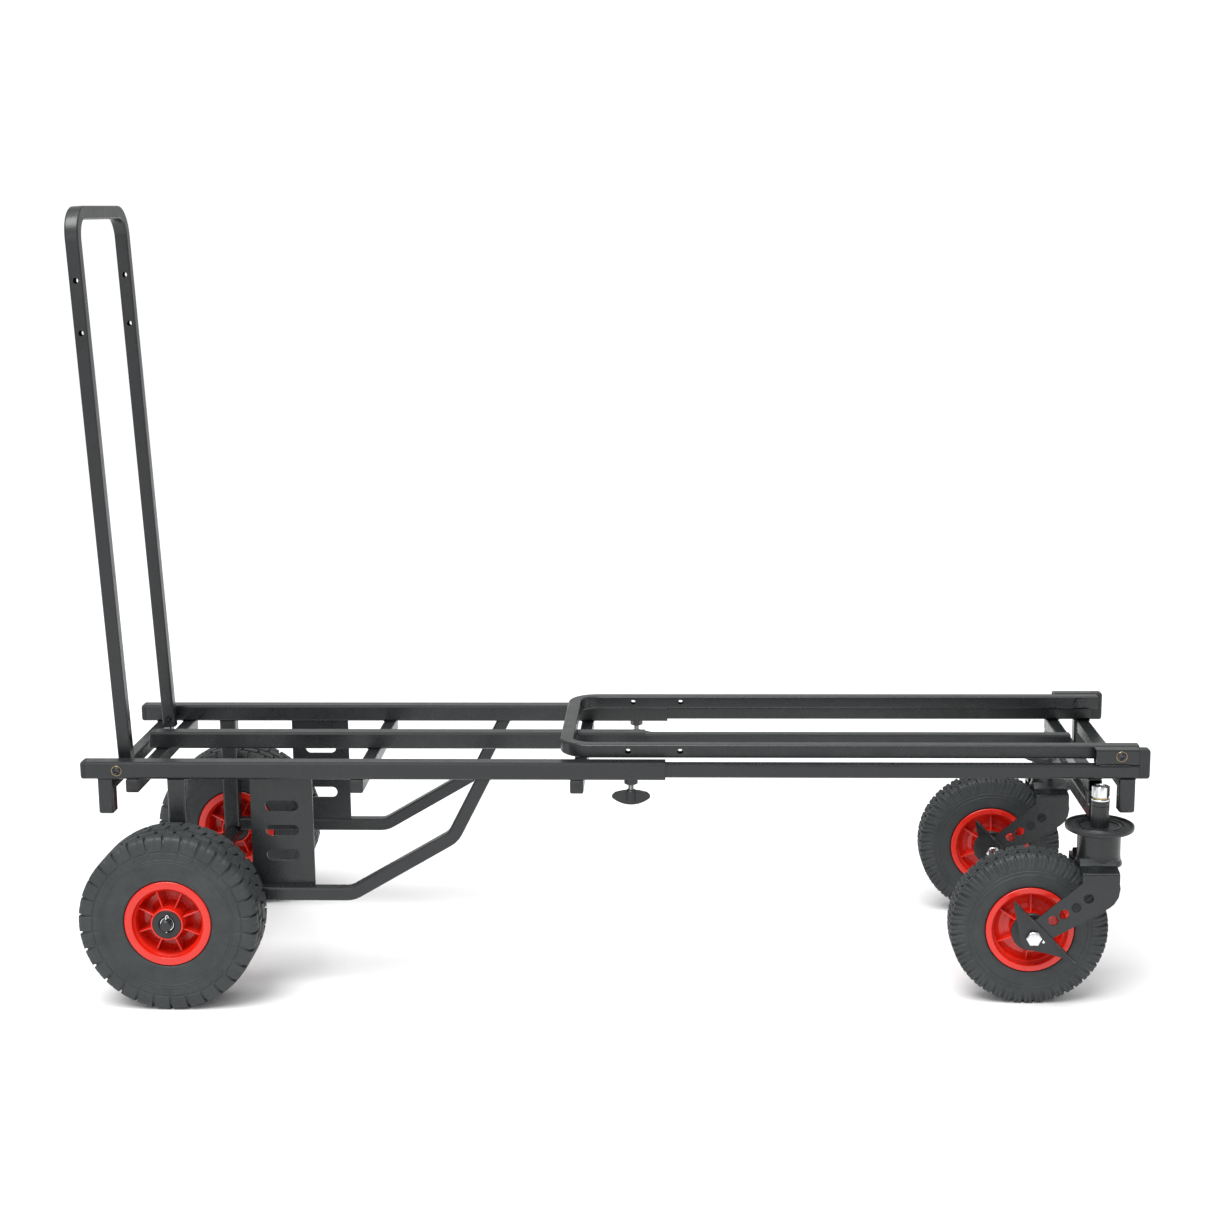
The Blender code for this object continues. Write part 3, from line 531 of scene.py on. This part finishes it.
for side, _ in SIDES:
    tyre(f"rear_tyre_{side}", REAR_TYRE_ROWS, REAR_TYRE_COLUMNS, 30, f"rear_wheel_{side}")
    tyre(f"caster_tyre_{side}", CASTER_TYRE_ROWS, CASTER_TYRE_COLUMNS, 44, f"caster_wheel_{side}")


# ---- rims ----------------------------------------------------------------------------------------
# half thicknesses of a rib, at its foot and at its crest
RIB_FOOT = 0.0017
RIB_CREST = 0.0011


def both_faces(half):
    """A full turned profile from the half on the +Y side."""
    return list(half) + [(r, -offset) for r, offset in reversed(half)]


def rim(node, half, ribs, rib, body, first):
    """A spoked rim: a turned body with tapered ribs from the hub to the barrel on both faces."""
    center = middle(node)
    profile = [(r, center.y + offset) for r, offset in eased(both_faces(half), 0.0010, 3)]
    shells = [turned("Y", (center.x, center.z), profile, 96)]
    inner, outer, depth, height_in, height_out = rib
    for k in range(ribs):
        for face in (-1.0, 1.0):
            rings = []
            halfway = ((inner + outer) / 2, (height_in + height_out) / 2 - 0.0006)
            for radius, reach in ((inner, height_in), halfway, (outer, height_out)):
                outline = eased([
                    (-RIB_FOOT, depth), (RIB_FOOT, depth), (RIB_CREST, reach), (-RIB_CREST, reach),
                ], 0.0008)
                rings.append([Vector((radius, v * face, u)) for u, v in outline])
            turn = Matrix.Translation(center) @ Matrix.Rotation(-first - 2 * math.pi * k / ribs, 4, "Y")
            shells.append(moved(skin(rings), turn))
    piece(node + "_wheel", shells, "rim", body, (node,))


# (radius, offset) from the bore over the hub, web and flange, and back under the flange
REAR_RIM_HALF = (
    (0.0083, 0.0298), (0.0202, 0.0298), (0.0202, 0.0400), (0.0224, 0.0400), (0.0230, 0.0380),
    (0.0234, 0.0160), (0.0260, 0.0080), (0.0310, 0.0050), (0.0400, 0.0050), (0.0440, 0.0085),
    (0.0455, 0.0150), (0.0462, 0.0290), (0.0492, 0.0325), (0.0502, 0.0362), (0.0512, 0.0368),
    (0.0600, 0.0368), (0.0610, 0.0358), (0.0610, 0.0337), (0.0604, 0.0318), (0.0495, 0.0296),
)
CASTER_RIM_HALF = (
    (0.0060, 0.0300), (0.0225, 0.0300), (0.0232, 0.0280), (0.0238, 0.0120), (0.0262, 0.0060),
    (0.0320, 0.0045), (0.0400, 0.0045), (0.0450, 0.0070), (0.0466, 0.0110), (0.0474, 0.0150),
    (0.0500, 0.0165), (0.0512, 0.0205), (0.0520, 0.0246), (0.0530, 0.0252), (0.0596, 0.0252),
    (0.0605, 0.0244), (0.0605, 0.0221), (0.0598, 0.0202), (0.0500, 0.0186),
)
# (inner radius, outer radius, foot's offset, crest's offset at the hub, crest's offset at the barrel)
REAR_RIB = (0.0220, 0.0470, 0.0030, 0.0300, 0.0262)
CASTER_RIB = (0.0225, 0.0480, 0.0030, 0.0215, 0.0135)
for side, _ in SIDES:
    rim(f"rear_rim_{side}", REAR_RIM_HALF, 8, REAR_RIB, f"rear_wheel_{side}", math.radians(20.0))
    rim(f"caster_rim_{side}", CASTER_RIM_HALF, 6, CASTER_RIB, f"caster_wheel_{side}", math.radians(27.0))

# ---- hubs ----------------------------------------------------------------------------------------
BUSHING_REACH = {"outer": 0.0405, "inner": 0.0376}
for side, sign in SIDES:
    center = middle(f"rear_rim_{side}")
    for face, spot in ((sign, "outer"), (-sign, "inner")):
        reach = BUSHING_REACH[spot]
        bushing = [
            (0.0085, 0.0300), (0.0200, 0.0300), (0.0200, reach), (0.0118, reach), (0.0104, reach - 0.0012),
            (0.0101, reach - 0.0036), (0.0085, reach - 0.0036),
        ]
        profile = [(r, center.y + face * o) for r, o in eased(bushing, 0.0007)]
        piece(
            f"hub_bushing_{side}_{spot}", [turned("Y", (center.x, center.z), profile)],
            "black_plastic", f"rear_wheel_{side}",
        )
    washer = flat_ring(0.0084, 0.0098, 0.0370, 0.0386)
    profile = [(r, center.y + sign * o) for r, o in eased(washer, 0.0004)]
    piece(f"axle_washer_{side}", [turned("Y", (center.x, center.z), profile)], "hardware", "rear_frame")

    center = middle(f"caster_rim_{side}")
    hub = [
        (0.0062, 0.0290), (0.0262, 0.0290), (0.0268, 0.0300), (0.0266, 0.0330), (0.0250, 0.0345),
        (0.0170, 0.0350), (0.0150, 0.0372), (0.0105, 0.0380), (0.0095, 0.0494), (0.0062, 0.0494),
    ]
    shells = []
    for face in (-1.0, 1.0):
        profile = [(r, center.y + face * o) for r, o in eased(hub, 0.0008)]
        shells.append(turned("Y", (center.x, center.z), profile))
    piece(f"caster_hub_{side}", shells, "black_plastic", f"caster_wheel_{side}")


# ---- casters -------------------------------------------------------------------------------------
FORK_RADIUS = 0.0294
FORK_WALL = 0.003
# the bridge's ends along X, behind and ahead of the kingpin
BRIDGE_BACK = 0.0306
BRIDGE_FRONT = 0.0196
LEG_Y = 0.050
LEG_THICKNESS = 0.003
# the holes in each leg, (along, up) from the wheel's centre
LEG_HOLES = ((0.0735, 0.0551), (0.0569, 0.0424), (0.0412, 0.0324), (0.0265, 0.0233))
LEG_HOLE_RADIUS = 0.0069
BOLT_HOLE_RADIUS = 0.0058
LEG_TOP = 0.1850
# the bridge reaches SEAM below the legs' top, and the legs stand INSET inside its faces
SEAM = 0.0006
INSET = 0.00006
SWIVEL_Y = abs(SWIVEL.y)
BOSS_LIP_Z = (0.2810, 0.2880)
WASHER_HEIGHT = 0.0022


def fork(side, sign):
    """Turned cup and a pressed bridge whose rounded folds run down into the two legs."""
    y = sign * SWIVEL_Y
    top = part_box(f"caster_fork_{side}")[1].z
    wall = FORK_RADIUS - FORK_WALL
    cup = [
        (0.0063, top - FORK_WALL), (0.0063, top), (FORK_RADIUS, top), (FORK_RADIUS, 0.2120),
        (FORK_RADIUS + 0.0006, 0.2060), (FORK_RADIUS + 0.0026, 0.2010), (FORK_RADIUS + 0.0030, 0.1975),
        (wall, 0.1975), (wall, top - FORK_WALL),
    ]
    shells = [turned("Z", (SWIVEL.x, y), eased(cup, 0.0022, 4), 72)]

    left = SWIVEL.x - BRIDGE_BACK
    right = SWIVEL.x + BRIDGE_FRONT
    outside = eased([
        (FORK_RADIUS - 0.0040, 0.2120), (FORK_RADIUS + 0.0030, 0.2025), (LEG_Y - 0.0030, 0.2003),
        (LEG_Y + LEG_THICKNESS, 0.1985), (LEG_Y + LEG_THICKNESS, LEG_TOP - SEAM),
    ], 0.0075, 7, closed=False)
    inside = eased([
        (LEG_Y, LEG_TOP - SEAM), (LEG_Y, 0.1962), (FORK_RADIUS - 0.0040, 0.1975),
    ], 0.0040, 5, closed=False)
    outline = outside + inside
    for face in (-1.0, 1.0):
        strip = [(y + face * u, v) for u, v in outline]
        rings = [[Vector((x, u, v)) for u, v in strip] for x in (left, right)]
        shells.append(skin(rings))

    hub_x, hub_z = CASTER_WHEEL.x, CASTER_WHEEL.z
    leg = [(left + INSET, LEG_TOP), (right - INSET, LEG_TOP)]
    leg += [(SWIVEL.x + 0.0206, 0.1775), (SWIVEL.x + 0.0186, 0.1655), (SWIVEL.x + 0.0130, 0.1560),
            (SWIVEL.x + 0.0067, 0.1503)]
    leg += arc((hub_x, hub_z), 0.0150, -62.0, -224.0, 14)
    leg.append((hub_x - 0.0115, hub_z + 0.0123))
    holes = [circle(LEG_HOLE_RADIUS, 32, (hub_x + u, hub_z + v)) for u, v in LEG_HOLES]
    holes.append(circle(BOLT_HOLE_RADIUS, 32, (hub_x, hub_z)))
    for face in (-1.0, 1.0):
        low, high = sorted((y + face * (LEG_Y + INSET), y + face * (LEG_Y + LEG_THICKNESS - INSET)))
        shells.append(plate("Y", leg, holes, low, high))
    piece(
        f"fork_pressing_{side}", shells, "frame_paint", f"caster_swivel_{side}",
        (f"caster_fork_{side}",), bevel=0.0007,
    )


for side, sign in SIDES:
    fork(side, sign)
    y = sign * SWIVEL_Y
    low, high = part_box(f"swivel_disc_{side}")
    ring = [
        (0.0066, low.z), (0.0440, low.z), (0.0462, low.z + 0.0012), (0.0470, low.z + 0.0040),
        (0.0468, high.z - 0.0008), (0.0455, high.z), (0.0436, high.z - 0.0002), (0.0420, high.z - 0.0026),
        (0.0368, high.z - 0.0032), (0.0356, high.z - 0.0014), (0.0330, high.z - 0.0014),
        (0.0316, high.z - 0.0032), (0.0250, high.z - 0.0036), (0.0066, high.z - 0.0036),
    ]
    piece(
        f"swivel_shield_{side}", [turned("Z", (SWIVEL.x, y), eased(ring, 0.0010, 3), 96)],
        "black_plastic", f"caster_swivel_{side}", (f"swivel_disc_{side}",),
    )
    race = flat_ring(0.0262, 0.0292, high.z - 0.0040, high.z - 0.0024)
    piece(
        f"swivel_race_{side}", [turned("Z", (SWIVEL.x, y), eased(race, 0.0006, 3), 96)],
        "hardware", f"caster_swivel_{side}", look=DARK_STEEL,
    )

    low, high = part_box(f"kingpin_{side}")
    boss_top = BOSS_LIP_Z[1]
    boss = flat_ring(0.0064, 0.0124, *BOSS_LIP_Z)
    piece(
        f"swivel_boss_lip_{side}", [turned("Z", (SWIVEL.x, y), eased(boss, 0.0006))],
        "frame_paint", "front_frame",
    )
    nut_low, nut_high = boss_top + 0.0046, high.z - 0.0006
    hexed = hexagon(0.0106)
    nut = loft("Z", (SWIVEL.x, y), [
        (circle(0.0104), nut_low), (hexed, nut_low + 0.0006), (hexed, nut_high - 0.0008),
        (circle(0.0104), nut_high), (circle(0.0076), nut_high), (circle(0.0068), nut_high - 0.0012),
        (circle(0.0056), nut_high - 0.0012), (circle(0.0052), nut_high - 0.0004),
        (circle(0.0004), nut_high - 0.0004),
    ])
    shank = loft("Z", (SWIVEL.x, y), [
        (circle(0.0096), low.z), (circle(0.0100), low.z + 0.0008), (circle(0.0100), low.z + 0.0055),
        (circle(0.0060), low.z + 0.0057), (circle(0.0060), nut_low + 0.001),
    ])
    piece(
        f"kingpin_nut_{side}", [nut, shank], "hardware", f"caster_swivel_{side}", (f"kingpin_{side}",),
        sharp=28.0,
    )
    flat = flat_ring(0.0062, 0.0125, boss_top + 0.0001, boss_top + 0.0001 + WASHER_HEIGHT)
    piece(
        f"kingpin_washer_{side}", [turned("Z", (SWIVEL.x, y), eased(flat, 0.0005))],
        "hardware", f"caster_swivel_{side}",
    )
    spring = flat_ring(0.0062, 0.0106, boss_top + 0.0024, boss_top + 0.0024 + WASHER_HEIGHT)
    piece(
        f"kingpin_lock_washer_{side}", [turned("Z", (SWIVEL.x, y), eased(spring, 0.0005))],
        "hardware", f"caster_swivel_{side}", look=BRASS,
    )

    # axle bolt of the caster, with its nut on the far leg
    low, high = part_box(f"caster_bolt_{side}")
    hub = (CASTER_WHEEL.x, CASTER_WHEEL.z)
    hexed = hexagon(0.0093)
    bolt = loft("Y", hub, [
        (circle(0.0076), low.y), (circle(0.0086), low.y + 0.0003), (hexed, low.y + 0.0013),
        (hexed, low.y + 0.0065), (circle(0.0055), low.y + 0.0065), (circle(0.0055), high.y - 0.0106),
        (hexed, high.y - 0.0105), (hexed, high.y - 0.0036), (circle(0.0088), high.y - 0.0026),
        (circle(0.0055), high.y - 0.0026), (circle(0.0055), high.y - 0.0006), (circle(0.0049), high.y),
    ])
    piece(
        f"caster_axle_bolt_{side}", [bolt], "hardware", f"caster_swivel_{side}", (f"caster_bolt_{side}",),
        sharp=28.0,
    )


# ---- brake pedals --------------------------------------------------------------------------------
# the rocker's tips and lower edge, (along, up) from the wheel's centre
PEDAL_TIPS = (Vector((-0.030, 0.0562)), Vector((0.064, -0.0401)))
PEDAL_LOW = (
    (0.0430, -0.0300), (0.0180, -0.0225), (0.0040, -0.0195), (-0.0095, -0.0165), (-0.0175, -0.0070),
    (-0.0200, 0.0060), (-0.0235, 0.0260),
)
PEDAL_THICKNESS = 0.0025
# (place along the rocker's long edge, width) of the folded flange
FLANGE = (
    (0.0050, 0.0), (0.0120, 0.0060), (0.0240, 0.0092), (0.0370, 0.0088), (0.0480, 0.0032), (0.0670, 0.0022),
    (0.0860, 0.0032), (0.0970, 0.0088), (0.1100, 0.0092), (0.1220, 0.0055), (0.1290, 0.0),
)
for side, _ in SIDES:
    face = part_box(f"brake_pedal_{side}")[1].y
    hub_x, hub_z = CASTER_WHEEL.x, CASTER_WHEEL.z
    outline = eased([tuple(PEDAL_TIPS[0]), tuple(PEDAL_TIPS[1])] + list(PEDAL_LOW), 0.006, 4)
    outline = [(hub_x + u, hub_z + v) for u, v in outline]
    hole = circle(BOLT_HOLE_RADIUS, 32, (hub_x, hub_z))
    shells = [plate("Y", outline, [hole], face - PEDAL_THICKNESS, face)]
    along = (PEDAL_TIPS[1] - PEDAL_TIPS[0]).normalized()
    across = Vector((-along.y, along.x))
    rings = []
    for shift in (-0.0026, -0.0002):
        ring = []
        for s, out in eased(FLANGE, 0.008, 3, closed=False):
            spot = PEDAL_TIPS[0] + along * s + across * shift
            ring.append(Vector((hub_x + spot.x, face - PEDAL_THICKNESS / 2 - out, hub_z + spot.y)))
        rings.append(ring)
    shells.append(skin(rings))
    piece(
        f"brake_rocker_{side}", shells, "frame_paint", f"caster_brake_{side}", (f"brake_pedal_{side}",),
        bevel=0.0006,
    )
    stud = (hub_x + 0.0135, hub_z - 0.0058)
    piece(
        f"brake_stud_{side}",
        [loft("Y", stud, [
            (circle(0.0014, 16), face - 0.0045), (circle(0.0020, 16), face - 0.0040),
            (circle(0.0020, 16), face - 0.0015),
        ])],
        "hardware", f"caster_brake_{side}",
    )


# ---- pivot bolts and clamps ----------------------------------------------------------------------
FRONT_NUT_Y = 0.1352
THREAD_PITCH = 0.00125
WING_HALF_THICKNESS = 0.0042


def socket_bolt(node, sign, body, shank_out, nut_at=None, spacer=None):
    """A button-head bolt with a hexagon socket; spacer is the (outer, inner) ends of the sleeve round it."""
    low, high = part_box(node)
    outer = high.y if sign > 0 else -low.y
    inner = low.y if sign > 0 else -high.y
    center = middle(node)
    rings = [
        (circle(0.0024), outer - 0.0022), (hexagon(0.0026), outer - 0.0002), (circle(0.0040), outer + 0.0004),
        (circle(0.0056), outer - 0.0004), (circle(0.0065), outer - 0.0018), (circle(0.0065), outer - 0.0031),
        (circle(BOLT_RADIUS), outer - 0.0031),
    ]
    if spacer:
        sleeve = circle(SPACER_RADIUS)
        rings += [(circle(BOLT_RADIUS), spacer[0]), (sleeve, spacer[0]), (sleeve, spacer[1]),
                  (circle(BOLT_RADIUS), spacer[1])]
    if nut_at:
        nut = hexagon(0.0065)
        rings += [(circle(BOLT_RADIUS), nut_at), (circle(0.0062), nut_at), (nut, nut_at - 0.0006),
                  (nut, nut_at - 0.0040), (circle(BOLT_RADIUS), nut_at - 0.0040)]
    rings.append((circle(BOLT_RADIUS - 0.0006), inner))
    bolt = loft("Y", (center.x, center.z), [(outline, sign * along) for outline, along in rings])
    piece(f"{node}_screw", [bolt], "hardware", body, (node,), sharp=28.0, look=DARK_STEEL)
    ring = flat_ring(0.0063, 0.0074, shank_out, shank_out + 0.0009)
    profile = [(r, sign * o) for r, o in eased(ring, 0.0004)]
    piece(f"{node}_washer", [turned("Y", (center.x, center.z), profile)], "hardware", body, look=BRASS)


RAIL_Y = abs(middle("rail_end_cap_right").y)
OUTER_HALF = (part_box("rail_end_cap_right")[1].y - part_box("rail_end_cap_right")[0].y) / 2
REAR_SPACER = (RAIL_Y - OUTER_HALF - 0.0003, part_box("rear_handle")[1].y + 0.0003)
for side, sign in SIDES:
    socket_bolt(
        f"rear_pivot_bolt_{side}", sign, "rear_frame", RAIL_Y + OUTER_HALF + 0.0001, spacer=REAR_SPACER,
    )
    socket_bolt(
        f"front_pivot_bolt_{side}", sign, "front_frame", RAIL_Y + TUBE / 2 + 0.0001, nut_at=FRONT_NUT_Y,
    )

    low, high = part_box(f"clamp_screw_{side}")
    x, y = middle(f"clamp_screw_{side}").x, sign * RAIL_Y
    rings = [(circle(BOLT_RADIUS - 0.0005, 32), low.z + 0.010)]
    turns = int((high.z - low.z - 0.011) / THREAD_PITCH)
    for k in range(turns):
        base = low.z + 0.011 + k * THREAD_PITCH
        rings += [(circle(BOLT_RADIUS - 0.0006, 32), base), (circle(BOLT_RADIUS, 32), base + 0.0006)]
    rings.append((circle(BOLT_RADIUS - 0.0008, 32), high.z))
    piece(f"clamp_thread_{side}", [loft("Z", (x, y), rings)], "hardware", f"clamp_{side}", sharp=60.0)
    tip = (0.0268, 0.0125)
    upper = [(-0.0268, 0.0125), (-0.0225, 0.0165), (-0.0100, 0.0195), (0.0100, 0.0195), (0.0225, 0.0165), tip]
    lower = arc((0.0, 0.0400), 0.0400, -48.0, -132.0, 20)
    wing = [(x + u, low.z + v) for u, v in upper + lower]
    collar = turned("Z", (x, y), eased([
        (0.0, low.z + 0.004), (0.0078, low.z + 0.004), (0.0074, low.z + 0.0190), (0.0060, low.z + 0.0212),
        (0.0, low.z + 0.0212),
    ], 0.0010), 48)
    blade = plate("Y", wing, [], y - WING_HALF_THICKNESS, y + WING_HALF_THICKNESS)
    piece(
        f"clamp_wing_{side}", [blade, collar], "black_plastic", f"clamp_{side}", (f"clamp_screw_{side}",),
        bevel=0.0012,
    )


# ---- tube plugs and weld beads -------------------------------------------------------------------
CROSSBARS = ("crossbar_rear", "crossbar_middle", "crossbar_front")
for bar in CROSSBARS:
    low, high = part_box(bar)
    center = middle(bar)
    tube_half = TUBE / 2
    shells = []
    for sign in (-1.0, 1.0):
        end = high.y if sign > 0 else -low.y
        sections = [
            (rounded_square(tube_half - 0.0020, tube_half - 0.0020, 0.0012), sign * (end - 0.008)),
            (rounded_square(tube_half - 0.0019, tube_half - 0.0019, 0.0012), sign * (end + 0.0001)),
            (rounded_square(tube_half - 0.0001, tube_half - 0.0001, 0.0024), sign * (end + 0.0001)),
            (rounded_square(tube_half - 0.0001, tube_half - 0.0001, 0.0024), sign * (end + 0.0008)),
            (rounded_square(tube_half - 0.0014, tube_half - 0.0014, 0.0018), sign * (end + 0.0016)),
            (rounded_square(0.0012, 0.0012, 0.0005), sign * (end + 0.0028)),
        ]
        shells.append(loft("Y", (center.x, center.z), sections))
    piece(f"{bar}_plugs", shells, "black_plastic", "rear_frame")


# the beads draw their ripples' sizes in a fixed order
random.seed(11)
BEAD_HALF = 0.008


def bead(start, end, radius=0.0014):
    """A weld bead from start to end: overlapping ripples of slightly uneven size."""
    start, end = Vector(start), Vector(end)
    along = end - start
    axis = along.normalized()
    side = axis.orthogonal().normalized()
    up = axis.cross(side)
    rings = []
    count = max(8, int(along.length / 0.0008))
    for k in range(count + 1):
        t = k / count
        ends = min(1.0, 4.0 * t + 0.25, 4.0 * (1.0 - t) + 0.25)
        size = radius * ends * (1.0 + 0.14 * math.cos(k * math.pi) + random.uniform(-0.06, 0.06))
        rings.append([start + along * t + side * size * u + up * size * v for u, v in circle(1.0, 10)])
    return skin(rings)


def tube_beads(a, b):
    """Beads along the two X-facing lines where a crossbar (b) meets a rail (a) above it."""
    (a_low, a_high), (b_low, b_high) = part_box(a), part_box(b)
    z = b_high.z
    low_y, high_y = max(a_low.y, b_low.y) + 0.003, min(a_high.y, b_high.y) - 0.003
    return [bead((x, low_y, z), (x, high_y, z)) for x in (b_low.x, b_high.x)]


def foot_bead(x, sign, z):
    """A bead across the underside of a side rail, where an upright meets it."""
    return bead((x, sign * RAIL_Y - BEAD_HALF, z), (x, sign * RAIL_Y + BEAD_HALF, z))


rear_beads = []
for bar in CROSSBARS:
    for rail in ("outer_rail_right", "outer_rail_middle", "outer_rail_left"):
        rear_beads += tube_beads(rail, bar)
for side, sign in SIDES:
    for leg in ("rear_foot", "axle_post", "axle_brace"):
        low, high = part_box(f"{leg}_{side}")
        for x in ((low.x, high.x) if leg != "axle_brace" else (high.x,)):
            rear_beads.append(foot_bead(x, sign, high.z))
piece("rear_weld_beads", rear_beads, "frame_paint", "rear_frame", sharp=80.0)

front_beads = []
for rail in ("inner_rail_right", "inner_rail_middle", "inner_rail_left"):
    front_beads += tube_beads(rail, "front_crossbar")
for rail in ("inner_rail_right", "inner_rail_left"):
    front_beads += tube_beads(rail, "front_tie_bar")
for side, sign in SIDES:
    low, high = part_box(f"pivot_block_{side}")
    for y in (low.y, high.y):
        front_beads.append(bead((low.x + 0.004, y, low.z), (high.x - 0.010, y, low.z), 0.0011))
    low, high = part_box(f"front_foot_{side}")
    for x in (low.x, high.x):
        front_beads.append(foot_bead(x, sign, high.z))
piece("front_weld_beads", front_beads, "frame_paint", "front_frame", sharp=80.0)


# ---- studio --------------------------------------------------------------------------------------
def stage_material():
    material = bpy.data.materials.new("studio_floor")
    material.use_nodes = True
    base = material.node_tree.nodes["Principled BSDF"]
    base.inputs["Base Color"].default_value = (0.93, 0.93, 0.935, 1.0)
    base.inputs["Roughness"].default_value = 0.22
    base.inputs["IOR"].default_value = 1.18
    return material


floor_mesh = bpy.data.meshes.new("studio_floor")
SWEEP = 12.0
floor_mesh.from_pydata(
    [(-SWEEP, -SWEEP, 0.0), (SWEEP, -SWEEP, 0.0), (SWEEP, SWEEP, 0.0), (-SWEEP, SWEEP, 0.0)],
    [], [(0, 1, 2, 3)],
)
floor = bpy.data.objects.new("studio_floor", floor_mesh)
bpy.context.collection.objects.link(floor)
floor.data.materials.append(stage_material())

world = bpy.data.worlds.new("studio_world")
bpy.context.scene.world = world
world.use_nodes = True
sky = world.node_tree
background = sky.nodes["Background"]
background.inputs["Color"].default_value = (1.0, 1.0, 1.0, 1.0)
background.inputs["Strength"].default_value = 0.62
backdrop = sky.nodes.new("ShaderNodeBackground")
backdrop.inputs["Color"].default_value = (1.0, 1.0, 1.0, 1.0)
backdrop.inputs["Strength"].default_value = 1.05
seen = sky.nodes.new("ShaderNodeLightPath")
choice = sky.nodes.new("ShaderNodeMixShader")
sky.links.new(seen.outputs["Is Camera Ray"], choice.inputs["Fac"])
sky.links.new(background.outputs["Background"], choice.inputs[1])
sky.links.new(backdrop.outputs["Background"], choice.inputs[2])
sky.links.new(choice.outputs["Shader"], sky.nodes["World Output"].inputs["Surface"])


def softbox(name, location, target, size, power):
    light = bpy.data.lights.new(name, "AREA")
    light.shape = "RECTANGLE"
    light.size, light.size_y = size
    light.energy = power
    item = bpy.data.objects.new(name, light)
    item.location = location
    item.rotation_euler = (Vector(target) - Vector(location)).to_track_quat("-Z", "Y").to_euler()
    bpy.context.collection.objects.link(item)


softbox("overhead_softbox", (0.0, -0.4, 3.2), (0.0, 0.0, 0.2), (3.2, 2.4), 38.0)
softbox("front_softbox", (-1.2, -3.6, 1.9), (0.0, 0.0, 0.3), (2.2, 1.6), 16.0)

sun = bpy.data.objects.new("studio_sun", bpy.data.lights.new("studio_sun", "SUN"))
sun.data.energy = 2.6
sun.data.angle = math.radians(38.0)
sun.rotation_euler = (math.radians(24.0), math.radians(-14.0), 0.0)
bpy.context.collection.objects.link(sun)

CAMERA_PLACE = Vector((0.1090, -2.9407, 1.0974))
YAW, PITCH, ROLL = -0.0537247, 0.1876631, -0.0122618
ahead = Vector((math.sin(YAW) * math.cos(PITCH), math.cos(YAW) * math.cos(PITCH), -math.sin(PITCH)))
right = Vector((math.cos(YAW), -math.sin(YAW), 0.0))
up = right.cross(ahead)
right, up = (
    right * math.cos(ROLL) + up * math.sin(ROLL),
    up * math.cos(ROLL) - right * math.sin(ROLL),
)
camera = bpy.data.objects.new("photo_camera", bpy.data.cameras.new("photo_camera"))
camera.data.lens = 60.8
camera.data.sensor_width = 36.0
camera.data.shift_x = 0.0243
camera.data.shift_y = -0.0085
camera.matrix_world = Matrix.Translation(CAMERA_PLACE) @ Matrix((right, up, -ahead)).transposed().to_4x4()
bpy.context.collection.objects.link(camera)
bpy.context.scene.camera = camera
bpy.context.scene.view_settings.view_transform = "Standard"
